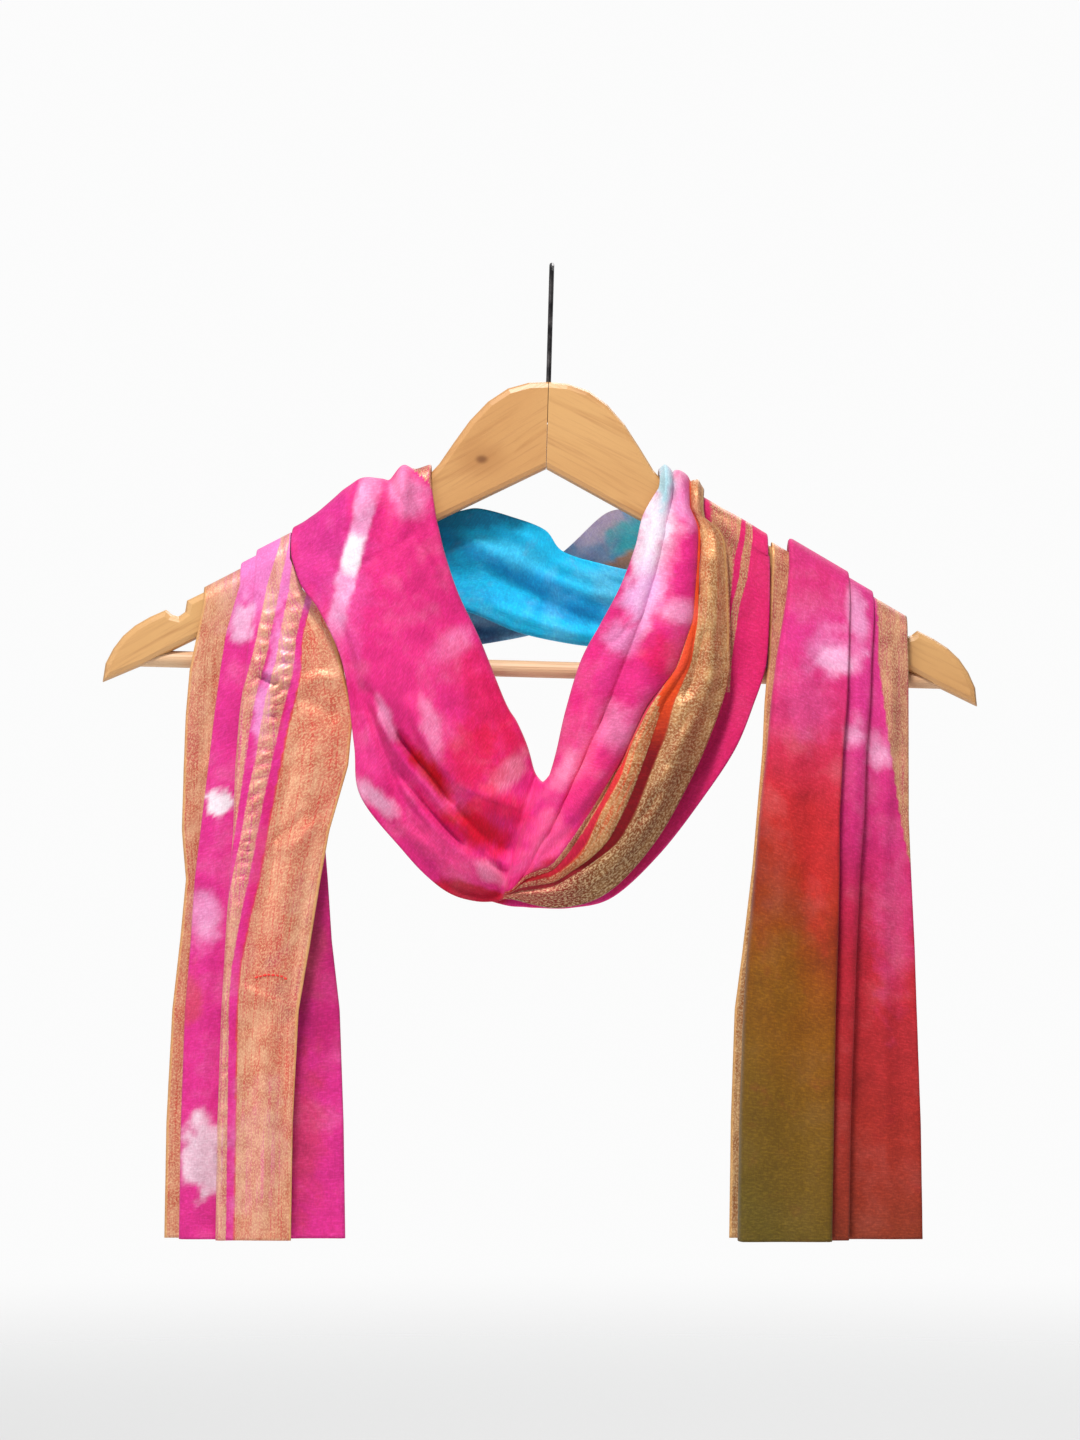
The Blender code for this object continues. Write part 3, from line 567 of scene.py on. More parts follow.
def crossing_points(table, left_seam, right_seam):
    """A strip behind the neck: three legs that sag from one arm to the other."""
    def seam_row(seam):
        inner, outer = seam[:2]
        inner_z, outer_z = seam_height(seam, inner), seam_height(seam, outer)
        return (inner, inner_z - SEAM_GAP, outer, outer_z - SEAM_GAP, FIRST_LAYER, ARM_PITCH)

    rows = [seam_row(left_seam)] + table + [seam_row(right_seam)]
    table, stations = smooth_rows(rows, [12] * (len(rows) - 1))
    upper, lower, depth, pitch = table[:, 0:2], table[:, 2:4], table[:, 4], table[:, 5]
    edges = np.stack([upper, lower, blend(upper, lower, 0.06), lower], 1)
    levels = np.stack([depth, depth + pitch, depth + 2 * pitch], 1)[:, :, None] * np.ones(2)
    places = [even(len(table), count) for count in (36, 22, 30)]
    points, legs, place, out = lay(edges, levels, np.full(len(table), -math.pi / 2), places)
    share = (stations / stations[-1])[:, None]
    across = np.where(legs == 1, 1 - place, place)
    wave = np.sin(9.0 * across + 5.0 * share) + 0.6 * np.sin(15.0 * across - 7.0 * share)
    raise_cloth(points, legs, out, 1.3 * np.sin(np.pi * share) * np.sin(np.pi * across) * wave)
    return points, legs, place, np.sin(np.pi * share)


LILAC, TURQUOISE = (226, 204, 255), (84, 236, 250)
points, legs, place, slack = crossing_points(CROSSING_UNDER, SEAM_LEFT_OUTER, SEAM_RIGHT_INNER)
x, z = points[..., 0], points[..., 2]
dye_and_light_washes = [
    (24, -128, 18, 14, 30, 0.9, LILAC, 0.95),
    (20, -150, 10, 26, -35, 0.8, (214, 205, 236), 0.6),
    (46, -142, 16, 15, 0, 0.8, TURQUOISE, 0.95),
    (36, -150, 13, 5.0, 34, 0.6, (240, 170, 132), 0.95),
    # Dark navy where the lilac stretch shows below the blue strip: painted shadow under the blue.
    (-60, -192, 40, 12, 0, 0.9, (30, 60, 120), 0.8),
    (-120, -190, 40, 16, 0, 0.9, (225, 60, 140), 0.9),
    (72, -140, 20, 20, 0, 0.9, (214, 110, 150), 0.8),
]
dye_and_painted_light = paint_washes(x, z, tone(116, 204, 244), dye_and_light_washes, 11)
points[..., 1] += 0.7 * soft_noise(x, z, 14.0, 12) * slack
border = np.where(legs == 2, 12 + 34 * (1 - place), PLAIN)
silk = cloth_finish("lilac_silk", 3, (190, 130, 110), (224, 178, 140), 0.3)
make_cloth("stole_lilac_stretch", "crossing_under", points, dye_and_painted_light, border, silk)

# The strip behind the neck, bright blue.
# It runs from the left arm's back to the right arm's outer part, in front of the lilac stretch,
# and sags between the arms in soft folds that slant down to the right.
CROSSING_BLUE = [
    (-57.0, -124.0, -120.0, -167.0, 8.6, 2.1),
    (-48.0, -124.0, -98.0, -171.0, 9.2, 2.3),
    (-37.6, -122.5, -73.0, -173.0, 10.0, 2.6),
    (-21.3, -126.5, -45.0, -174.8, 11.5, 3.2),
    (-3.5, -133.4, -17.0, -185.8, 13.0, 3.6),
    (6.0, -144.5, 10.8, -191.8, 14.0, 3.8),
    (28.2, -151.4, 34.8, -194.4, 14.0, 3.8),
    (56.0, -158.0, 62.0, -199.0, 13.0, 3.6),
    (82.0, -168.0, 94.0, -205.0, 11.5, 3.2),
    (101.0, -174.0, 130.0, -211.0, 10.0, 2.7),
    (108.5, -171.0, 156.0, -213.0, 9.2, 2.4),
]


def on_leg(legs, place, leg, rise):
    """1 on the flat of one leg, rising from its two edges, and 0 on the others."""
    return np.where(legs == leg, 1.0, 0.0) * np.clip(rise * np.minimum(place, 1 - place), 0, 1)


points, legs, place, slack = crossing_points(CROSSING_BLUE, SEAM_LEFT_INNER, SEAM_RIGHT_OUTER)
x, z = points[..., 0], points[..., 2]
# The darker blue laid along the fold troughs is painted shade.
BLUE_FOLD_SHADE = (6, 140, 212)
dye_and_light_washes = [
    # Dark blue just under the left arm: a painted shadow of the arm on the blue.
    (-42, -128, 26, 7, 0, 0.8, (4, 90, 134), 0.7),
    (-10, -158, 60, 6, -26, 0.9, BLUE_FOLD_SHADE, 0.75),
    (20, -178, 50, 4, -12, 0.9, BLUE_FOLD_SHADE, 0.6),
    # Paler blue streaks along the fold ridges: painted highlights.
    (-20, -146, 26, 6, -20, 1.0, (60, 190, 235), 0.6),
    (34, -166, 26, 5, -12, 1.0, (60, 185, 230), 0.5),
    (110, -190, 44, 40, 0, 0.9, (120, 60, 150), 0.7),
    (150, -195, 40, 40, 0, 0.8, (214, 45, 120), 0.9),
    (-95, -150, 30, 40, 0, 0.9, (60, 90, 180), 0.6),
]
dye_and_painted_light = paint_washes(x, z, tone(14, 190, 246), dye_and_light_washes, 21)
blue_creases = [
    ([(-46, -135), (-26, -146), (-4, -158), (20, -166), (50, -171)], 2.2, 3.0, 5.0),
    ([(-40, -150), (-18, -163), (8, -176), (34, -186)], -1.8, 3.5, 5.0),
    ([(-30, -128), (-10, -139), (4, -150), (30, -158)], 1.6, 3.0, 4.0),
    ([(-36, -168), (-14, -178), (12, -186), (40, -191)], 1.6, 2.6, 4.0),
    ([(14, -150), (30, -160), (58, -166)], -1.2, 2.4, 3.0),
]
points[..., 1] -= on_leg(legs, place, 0, 8) * ridges(x, z, blue_creases)
points[..., 1] += 0.5 * soft_noise(x, z, 11.0, 22) * slack
border = np.where(legs == 2, 8 + 36 * (1 - place), PLAIN)
silk = cloth_finish("blue_silk", 5, (170, 120, 100), (206, 170, 140), 0.4)
make_cloth("stole_blue_stretch", "crossing_blue", points, dye_and_painted_light, border, silk)

# The left end.
# The strip comes over the left arm from behind and hangs in five legs. The front leg shows the
# gold border with its two puckered stripes, and the back leg shows the other border.
LEFT_END = [
    (-130, -132.6, -147, -137, -151, -136, -153),
    (-149, -132.8, -149, -136, -154, -137, -163),
    (-165, -126.2, -151, -132, -159, -133, -176),
    (-172, -118.8, -151, -129, -161, -130, -177),
    (-186, -110.5, -153, -124, -165, -123, -180),
    (-205, -105.5, -155, -119, -168, -117, -184),
    (-228, -100.5, -158, -115, -171, -111, -186),
    (-254, -103.0, -160, -119, -174, -112, -187),
    (-287, -112.5, -161, -125, -178, -116, -188),
    (-312, -117.0, -163, -129, -181, -114, -186),
    (-343, -122.0, -165, -132, -183, -112, -189),
    (-378, -128.0, -167, -136, -186, -108, -193),
    (-435, -131.0, -169, -138, -188, -106, -196),
    (-500, -132.0, -170, -139, -189, -105, -197),
]
LEFT_ORDER, LEFT_COLUMNS = (4, 3, 2, 1, 0), (50, 22, 30, 34, 44)
# Rows of cloth over the arm, length of the fall in front, and the share of it by which the folds form
ARM_ROWS, FALL_LENGTH, FORMED_BY = 21, 350.0, 0.125


def hanging_end(table, order, seam, columns):
    """A hanging end, from behind the arm, over it, and down in front to the hem."""
    table = np.array(table, dtype=float)
    layers = max(order)
    falls = [(-90, -1.0), (-90, -0.5)] + [(angle, 0.0) for angle in np.linspace(-90, 90, ARM_ROWS)]
    falls += [(90, share) for share in np.linspace(0, 1, int(FALL_LENGTH / FINE_STEP))[1:]]

    def edge_x(k, z):
        return np.interp(-z, -table[:, 0], table[:, k + 1])

    edges, levels = [], []
    for degrees, share in falls:
        row = []
        for k in range(table.shape[1] - 1):
            x = edge_x(k, table[0, 0])
            for _ in range(4):
                top = arm_top(x) - ARM_THICK / 2
                if share < 0:
                    z = top + (seam_height(seam, x) + SEAM_GAP - top) * -share
                else:
                    z = top + (-HEM_DROP - top) * share
                x = edge_x(k, top if share <= 0 else z)
            row.append((x, z))
        edges.append(row)
        # The layers lie closest on top of the arm and spread below it, and the end sways a little
        down = max(share, 0.0)
        pitch = ARM_PITCH + 1.5 * min(1.0, down * 2)
        pitch -= 0.7 * min(1.0, max(0.0, (degrees + 90) / 40)) * max(0.0, 1 - down * 8)
        swing = 1.2 * math.sin(7.0 * down) * min(1.0, down * 3)
        rises = [layer * pitch + swing * (layers - layer + 2) / (layers + 2) for layer in order]
        levels.append([(FIRST_LAYER + rise, FIRST_LAYER + rise) for rise in rises])
    rows = len(falls)
    angles = np.radians([fall[0] for fall in falls])
    places = [even(rows, count) for count in columns]
    points, legs, place, out = lay(np.array(edges), np.array(levels), angles, places)
    down = np.clip([fall[1] for fall in falls], 0, 1)[:, None] * np.ones(points.shape[:2])
    ripple = 0.5 * np.clip(down * 6, 0, 1) * np.sin(points[..., 0] * 0.16 + down * 5.0)
    raise_cloth(points, legs, out, ripple)
    return points, legs, place, out, down


def line_x(z, line):
    """Where a line, given from its top down, lies at a height."""
    return np.interp(-z, [-point[1] for point in line], [point[0] for point in line])


def across_lines(x, z, lines):
    """A measure across the cloth: every line has its value, and it runs evenly between them."""
    result = None
    for (value, line), (next_value, next_line) in zip(lines, lines[1:]):
        start = line_x(z, line)
        span = line_x(z, next_line) - start
        share = (x - start) / np.where(abs(span) < 0.05, 0.05 * np.sign(span + 1e-9), span)
        inside = value + (next_value - value) * share
        result = inside if result is None else np.where(share >= 0, inside, result)
    return result


LEFT_BORDER_LINES = [
    (0, [(-106, -165), (-112.6, -186), (-106.5, -205.4), (-100.8, -227.8), (-103, -254),
        (-112.6, -287), (-117, -310), (-122, -343), (-128.4, -378), (-132, -500)]),
    (32.5, [(-121.5, -165), (-127.4, -189), (-128.9, -209.5), (-135.6, -233), (-140.1, -254.3),
        (-145.8, -284.4), (-149.8, -309.4), (-154.9, -330), (-160, -355), (-161.5, -377),
        (-163, -500)]),
    (39, [(-128.4, -165), (-133, -186), (-134.5, -200), (-140.1, -221), (-144.7, -248),
        (-149.8, -267.6), (-154.9, -292.6), (-158.5, -308), (-161.1, -322), (-163.1, -338.5),
        (-166.7, -367.6), (-168.5, -500)]),
    (51.5, [(-135.6, -141.6), (-141.5, -161), (-146.3, -187.5), (-148.8, -198), (-153.9, -217),
        (-157.5, -236.5), (-159.5, -256.4), (-163, -290), (-168, -322), (-175, -500)]),
    (63, [(-143, -141.6), (-149, -161), (-155, -187.5), (-157, -198), (-162, -217),
        (-166, -236.5), (-168, -256.4), (-172, -290), (-177, -322), (-183, -500)]),
]
points, legs, place, out, down = hanging_end(LEFT_END, LEFT_ORDER, SEAM_LEFT_OUTER, LEFT_COLUMNS)
x, z = points[..., 0].copy(), points[..., 2].copy()
hanging = ramp(down, 0, FORMED_BY)
front, middle, back = [on_leg(legs, place, leg, 6) * hanging for leg in (0, 2, 4)]
from_right = across_lines(x, z, LEFT_BORDER_LINES)
border = np.where(legs < 1, from_right, np.where(legs >= 3.5, x - points[:, -1:, 0], PLAIN))
puckers = pucker_shade = 0.0
for low, high in GOLD_BANDS[1:]:
    band = np.clip(1 - ((from_right - (low + high) / 2) / 4.6) ** 2, 0, 1)
    waves = np.sin(-z * 0.86 + 3.4 * soft_noise(x, z, 12.0, 31 + int(low)))
    waves = waves * (0.7 + 0.6 * soft_noise(x, z, 14.0, 38 + int(low)))
    puckers = puckers + band * (0.8 + 1.35 * waves)
    # Pucker troughs get more dye share over the gold, which darkens them: painted shade in the hollows.
    pucker_shade = pucker_shade + band * np.clip(-waves, 0, 1)
left_front_creases = [
    ([(-153, -199), (-146, -206), (-138, -210), (-131, -212)], 2.3, 1.5, 2.2),
    ([(-151, -207), (-143, -211), (-134, -214)], -2.4, 1.7, 1.7),
    ([(-128, -212), (-118, -208), (-109, -210), (-103, -215)], 2.2, 1.4, 5.0),
    ([(-130, -218), (-118, -223), (-106, -229)], -1.6, 2.6, 5.0),
    ([(-142, -292), (-132, -286), (-124, -277)], -1.4, 2.4, 2.4),
    ([(-140, -298), (-128, -292), (-116, -280)], 1.4, 2.4, 5.0),
    ([(-120, -240), (-124, -270), (-133, -310), (-140, -350), (-143, -378)], 1.5, 7.0, 9.0),
    ([(-127, -235), (-132, -262), (-139, -292), (-144, -330)], -1.2, 4.0, 5.0),
    ([(-111, -262), (-120, -290), (-126, -330), (-132, -372), (-136, -420)], -1.0, 4.0, 5.0),
    ([(-160, -364), (-150, -369), (-138, -374), (-130, -380)], 1.6, 1.6, 4.0),
    ([(-146, -385), (-144, -430), (-148, -490)], 2.0, 6.0, 7.0),
]
middle_line = [(-164, -210), (-168, -260), (-172, -320), (-176, -380), (-180, -490)]
left_back_creases = [
    ([(-178, -186), (-182, -230), (-184, -290), (-186, -350), (-190, -480)], 1.1, 3.4, 4.2),
    ([(-187, -262), (-178, -258), (-170, -250)], 0.9, 3.4, 4.2),
    ([(-186, -312), (-178, -306), (-170, -300)], -0.8, 3.4, 4.2),
    ([(-150, -200), (-142, -280), (-148, -380), (-150, -490)], -1.4, 3.4, 4.2),
    ([(-128, -230), (-134, -320), (-126, -420), (-122, -490)], -1.2, 3.4, 4.2),
]
lift = front * (puckers + ridges(x, z, left_front_creases))
lift += 0.8 * middle * crease(x, z, middle_line, 1.6, 3.0, 4.0)
lift += back * ridges(x, z, left_back_creases)
lift += 0.35 * soft_noise(x, z, 8.0, 33) * hanging
raise_cloth(points, legs, out, lift)

DEEP_PINK, PALE_PINK, WHITE = (205, 18, 88), (242, 140, 196), (250, 236, 246)
on_border = (border < BORDER_WIDE + 1)[..., None]
base = np.where(on_border & (legs < 1)[..., None], tone(218, 70, 66), tone(224, 44, 136))
base = np.where(on_border & (legs >= 3.5)[..., None], tone(196, 66, 54), base)
dye_and_light_washes = [
    (-122, -150, 40, 22, 20, 1.2, (244, 132, 200), 0.75),
    (-152, -152, 24, 24, 0, 1.1, (240, 128, 200), 0.7),
    (-157, -182, 6, 11, -14, 0.6, (246, 190, 226), 0.75),
    (-169, -273, 7.5, 8.5, -12, 0.45, WHITE, 0.92),
    (-176, -331, 7, 13, 0, 1.1, (242, 160, 208), 0.75),
    (-146, -226, 5, 20, -6, 0.7, (242, 150, 214), 0.8),
    (-138, -200, 6, 14, -8, 0.8, (242, 150, 214), 0.6),
    (-139, -222, 3.4, 12, -4, 0.6, DEEP_PINK, 0.7),
    (-150, -320, 4, 60, -8, 0.8, DEEP_PINK, 0.55),
    (-112, -226, 12, 15, 20, 0.7, (214, 60, 50), 0.6),
    (-122, -290, 9, 10, 0, 0.9, (206, 50, 40), 0.35),
    (-124, -350, 10, 24, 0, 1.0, (238, 132, 96), 0.45),
    (-184, -230, 7, 24, 0, 0.8, (206, 88, 104), 0.5),
    (-176, -170, 9, 10, 0, 0.9, (236, 158, 108), 0.6),
    (-110, -360, 24, 46, 0, 0.9, (186, 22, 100), 0.7),
    (-186, -372, 9, 14, 0, 0.8, (206, 70, 70), 0.6),
    (-150, -450, 14, 30, 0, 0.9, PALE_PINK, 0.5),
    (-176, -452, 10, 20, 0, 0.6, WHITE, 0.6),
    (-126, -440, 10, 40, 0, 0.9, (210, 66, 56), 0.4),
]
dye_and_painted_light = paint_washes(x, z, base, dye_and_light_washes, 34)
silk = cloth_finish("left_end_silk", 7, (200, 118, 90), (230, 174, 138), 0.18)

# Where the dye covers the gold: washes whose colour is a share
shade_washes = [
    (-116, -232, 11, 17, 20, 0.9, 0.34, 1.0),
    (-120, -290, 10, 16, 0, 1.0, 0.22, 1.0),
    (-112, -256, 6, 16, 0, 0.8, 0.3, 1.0),
    (-146, -350, 8, 24, -6, 0.9, 0.28, 1.0),
    (-132, -400, 10, 40, 0, 1.0, 0.3, 1.0),
    (-186, -230, 5, 24, 0, 0.8, 0.3, 1.0),
    (-180, -320, 7, 30, 0, 1.0, 0.25, 1.0),
    (-188, -400, 7, 50, 0, 1.0, 0.3, 1.0),
    (-122, -196, 9, 9, 0, 1.0, 0.1, 1.0),
]
# The front border's pucker hollows add painted shade to the dye share over the gold.
dye_and_shade_over_gold = wash_over(x, z, np.zeros(1), shade_washes, 36)[..., 0] + 0.5 * front * pucker_shade
make_cloth("stole_left_end", "end_left", points, dye_and_painted_light, border, silk, dye_and_shade_over_gold)

# The right end.
# It comes over the right arm and hangs in seven legs: a wide panel in front, two pleats to its
# right, and a gold border at each side. The dye runs from magenta to red, brown and olive.
RIGHT_END = [
    (-130, 112, 147, 121, 151, 127, 164, 144, 178),
    (-149, 112, 147, 121, 151, 127, 164, 144, 178),
    (-170, 111, 147, 119, 151, 128, 164, 146, 180),
    (-199, 110, 147, 114, 150, 127, 162, 144, 181),
    (-223, 108, 147, 111, 149, 126, 161, 143, 181),
    (-246, 107, 146, 109, 147, 124, 159, 142, 181),
    (-281, 104, 145, 105, 145, 121, 158, 139, 181),
    (-305, 102, 144, 103, 145, 120, 156, 137, 182),
    (-348, 97, 143, 99, 144, 117, 154, 133, 184),
    (-378, 93, 141, 97, 143, 116, 153, 131, 185),
    (-435, 91, 140, 95, 142, 115, 151, 129, 187),
    (-500, 90, 139, 94, 141, 114, 150, 128, 188),
]
RIGHT_ORDER, RIGHT_COLUMNS = (0, 1, 6, 5, 4, 3, 2), (26, 22, 34, 18, 24, 14, 34)
GOLD_LINE = [
    (165, -150), (165.6, -170), (166, -199), (169, -222.8), (172, -246), (176.6, -277), (181, -300),
    (190, -320), (215, -400), (230, -500),
]
points, legs, place, out, down = hanging_end(RIGHT_END, RIGHT_ORDER, SEAM_RIGHT_OUTER, RIGHT_COLUMNS)
x, z = points[..., 0].copy(), points[..., 2].copy()
past_line = x - line_x(z, GOLD_LINE)
border = np.where((legs > 5.6) & (past_line > -0.6), BORDER_WIDE - past_line, PLAIN)
border = np.where(legs < 1, x - points[:, :1, 0], border)
panel_creases = [
    ([(126, -160), (124, -200), (120, -260), (114, -330), (110, -400),
        (108, -490)], 1.4, 9.0, 11.0),
    ([(139, -150), (138, -200), (134, -260), (131, -330), (128, -400),
        (127, -490)], -0.9, 6.0, 6.0),
    ([(137, -193), (143, -195), (149, -192)], -1.3, 1.6, 2.0),
    ([(136, -198), (143, -201), (149, -199)], 1.0, 1.8, 2.4),
    ([(118, -175), (120, -215), (117, -260)], -0.8, 4.0, 4.0),
]
lift = on_leg(legs, place, 2, 6) * ridges(x, z, panel_creases)
for leg, line, height in (
    (4, [(157, -170), (156, -230), (152, -300), (149, -380), (147, -490)], 1.6),
    (4, [(153, -236), (158, -241), (163, -243)], -0.8),
    (6, [(173, -180), (172, -240), (168, -300), (168, -380), (170, -490)], 1.8),
    (6, [(163, -245), (170, -249), (178, -247)], -0.8),
    (6, [(178, -300), (177, -380), (180, -490)], -1.0),
    (0, [(125, -180), (120, -280), (110, -380), (106, -490)], -1.4),
    (0, [(138, -200), (134, -300), (124, -400), (120, -490)], -1.2),
):
    lift += on_leg(legs, place, leg, 6) * crease(x, z, line, height, 3.6, 4.0)
lift = (lift + 0.35 * soft_noise(x, z, 8.0, 43)) * ramp(down, 0, FORMED_BY)
raise_cloth(points, legs, out, lift)


def fall_colours(z, stops):
    """Ground dye that changes down the cloth: rows of height and screen colour."""
    heights = [-height for height, _ in stops]
    tones = np.array([tone(*tint) for _, tint in stops])
    return np.stack([np.interp(-z, heights, tones[:, channel]) for channel in range(3)], -1)


wavy = z + 5 * soft_noise(x, z, 30.0, 44)
# The brown reaches higher on the panel's left side than on its right
aslant = ramp(-z, 240, 300) * (x - 124)
panel_ground = fall_colours(wavy + aslant, [
    (-140, (214, 44, 118)), (-190, (224, 48, 132)), (-226, (214, 40, 104)), (-244, (206, 40, 78)),
    (-272, (202, 38, 46)), (-300, (180, 42, 26)), (-330, (154, 54, 14)), (-356, (146, 74, 8)),
    (-378, (138, 80, 6)), (-430, (118, 82, 12)), (-500, (98, 80, 20)),
])
pleat_ground = fall_colours(wavy, [
    (-140, (222, 54, 134)), (-220, (222, 50, 134)), (-290, (204, 36, 108)), (-322, (196, 30, 76)),
    (-352, (196, 34, 54)), (-430, (172, 42, 34)), (-500, (136, 54, 28)),
])
ground = np.where((legs <= 2.5)[..., None], panel_ground, pleat_ground)
dye_and_light_washes = [
    (143, -200, 7.5, 6, -10, 1.0, (250, 200, 228), 0.85),
    (141, -196, 13, 11, 0, 1.1, PALE_PINK, 0.6),
    (156, -180, 4.5, 15, 12, 1.1, (244, 170, 216), 0.65),
    (153, -238, 4.4, 7, 0, 1.2, (246, 170, 212), 0.7),
    (165, -247, 5.5, 8, 0, 1.2, (244, 170, 210), 0.7),
    (128, -160, 20, 12, 0, 1.2, (206, 40, 96), 0.4),
    (128, -225, 14, 14, 0, 1.2, (232, 84, 150), 0.5),
    (174, -330, 9, 40, 0, 1.0, (218, 60, 130), 0.5),
    (180, -372, 8, 14, 0, 0.9, (190, 34, 40), 0.5),
    (114, -360, 12, 20, 0, 1.0, (132, 88, 12), 0.4),
    (102, -306, 9, 34, 4, 1.1, (134, 34, 14), 0.45),
    (133, -306, 7, 30, 4, 1.1, (214, 40, 44), 0.45),
]
dye_and_painted_light = paint_washes(x, z, ground, dye_and_light_washes, 45)
on_border = (border < BORDER_WIDE + 0.5)[..., None]
dye_and_painted_light = np.where(on_border, blend(dye_and_painted_light, tone(176, 96, 60), 0.5), dye_and_painted_light)
silk = cloth_finish("right_end_silk", 9, (158, 96, 60), (212, 164, 112), 0.3)
make_cloth("stole_right_end", "end_right", points, dye_and_painted_light, border, silk)

# The loop in front.
# The strip rises from behind the right arm, falls in front of it in rolls, turns up under the
# point of folds and goes over the left arm. Its right half shows the gold border on its edge.
LOOP_RIGHT = [
    (46.5, -127.0, 87.0, -138.0, 110.6, -150.0, 11.5, 15.5, 8.6, 10.6, 2, 5, 22),
    (42.5, -143.0, 89.0, -154.0, 110.6, -166.0, 13.5, 17.0, 8.8, 11.2, 4, 6, 24),
    (35.0, -163.0, 89.8, -174.0, 110.0, -186.0, 15.5, 18.0, 9.2, 11.8, 6, 7, 26),
    (25.0, -182.0, 90.0, -192.0, 108.4, -204.0, 17.5, 19.5, 9.6, 12.2, 8, 8, 28),
    (15.0, -200.5, 89.0, -211.0, 102.6, -222.0, 19.0, 20.5, 10.0, 12.5, 9, 8, 30),
    (7.2, -225.8, 82.0, -233.5, 93.2, -245.0, 21.0, 22.0, 10.5, 13.0, 9, 9, 30),
    (2.6, -246.0, 70.5, -260.0, 77.5, -269.0, 23.0, 23.0, 11.0, 13.5, 9, 10, 28),
    (-0.6, -257.5, 52.0, -292.5, 55.2, -298.0, 25.0, 24.0, 11.5, 14.0, 8, 12, 26),
    (-2.0, -260.0, 28.0, -318.0, 31.0, -320.5, 26.0, 24.5, 12.0, 14.0, 6, 14, 24),
    (-3.4, -261.6, 3.0, -325.6, 10.0, -326.0, 27.0, 26.0, 12.0, 14.0, 4, 16, 22),
    (-5.0, -262.2, -21.0, -321.0, -8.0, -326.0, 28.0, 28.0, 12.0, 14.0, 3, 18, 22),
]
LOOP_LEFT = [
    (-7.6, -259.4, -27.5, -322.4, -14.0, -325.6, 20.5, 20.0, 12.0, 13.0, 3, 20, 22),
    (-9.4, -255.5, -38.0, -322.5, -22.0, -325.0, 20.5, 20.0, 12.0, 13.0, 4, 24, 24),
    (-12.6, -244.0, -50.5, -319.0, -33.0, -322.0, 21.0, 20.5, 12.0, 13.0, 6, 28, 26),
    (-17.8, -232.0, -62.0, -310.8, -46.0, -317.0, 20.5, 21.0, 11.5, 13.0, 8, 30, 28),
    (-23.9, -221.5, -75.0, -297.0, -58.0, -306.0, 20.0, 22.0, 11.0, 13.0, 9, 32, 30),
    (-36.6, -190.1, -96.5, -269.5, -76.0, -284.0, 18.0, 23.0, 10.0, 12.5, 9, 32, 30),
    (-47.3, -167.6, -99.8, -243.0, -90.0, -254.0, 16.0, 24.5, 9.5, 12.0, 8, 30, 28),
    (-54.0, -148.3, -105.4, -203.0, -97.0, -214.0, 14.0, 25.5, 9.2, 12.0, 6, 26, 26),
    (-57.2, -135.5, -117.2, -176.0, -110.0, -184.0, 12.5, 25.0, 8.8, 11.5, 4, 22, 24),
    (-59.0, -127.5, -126.5, -163.0, -119.0, -168.0, 11.4, 22.5, 8.6, 11.0, 3, 20, 22),
]
OVER_RIGHT = (54.5, 77.5, 109.8)
OVER_LEFT = (-61.5, -131.8, -124.0)

# Stations along the loop: 4 is the first below the right arm, and 24 the last below the left
BACK_GOLD_END, UPPER_END, LOW_POINT, NEAR_LEFT_ARM = 8.0, 10.2, 14.4, 24.8

# Lines down the right half, from its gold edge inwards: value across the border, and points
RIGHT_LINES = [
    (29.5, [(70.5, -108), (75.6, -122), (75.6, -139), (74.6, -156), (74.0, -180), (70.5, -202),
        (61.5, -223), (58.0, -239), (51.0, -255.5), (43.0, -277), (34.3, -293), (20.4, -303.5),
        (1.5, -315.5), (-20.0, -318.2)]),
    (35, [(69.8, -108), (75.0, -122), (75.0, -139), (74.0, -156), (73.2, -180), (69.0, -202),
        (55.4, -223), (50.0, -239), (43.0, -259), (35.5, -277), (27.2, -293), (16.6, -302.6),
        (1.6, -312.8), (-19.6, -316.4)]),
    (43, [(69.4, -108), (74.5, -122), (74.5, -139), (73.5, -156), (72.0, -180), (66.5, -202),
        (49.4, -223), (39.6, -242), (34.2, -260), (24.2, -277), (17.0, -295.0), (11.0, -302.0),
        (1.4, -309.6), (-19.2, -314.6)]),
    (48, [(69.0, -108), (74.0, -122), (74.0, -139), (73.0, -156), (71.0, -180), (62.5, -205),
        (47.6, -224), (36.0, -249), (24.0, -271.7), (14.8, -287), (7.0, -298.6), (0.8, -306.4),
        (-18.8, -312.8)]),
    (56, [(68.5, -108), (73.5, -122), (73.5, -139), (72.5, -156), (70.2, -180), (60.5, -206),
        (46.2, -226), (33.4, -251.3), (19.5, -274.2), (9.6, -289.6), (2.1, -300.5),
        (-1.0, -303.8), (-18.2, -311.0)]),
    (95, [(60.8, -103.4), (60.3, -122), (57.2, -137), (54.2, -152.3), (48, -172), (38.9, -198),
        (29.7, -220.7), (19.5, -243.6), (9, -266), (-1, -288), (-11.4, -300)]),
]


def arm_station(over, angle, seam, tucks, levels):
    """A loop station where the cloth lies over an arm, or its seam behind it."""
    row = []
    for x in over:
        row += [x, seam_height(seam, x) + SEAM_GAP if seam else arm_top(x) - ARM_THICK / 2]
    return tuple(row) + levels + tucks + (angle,)


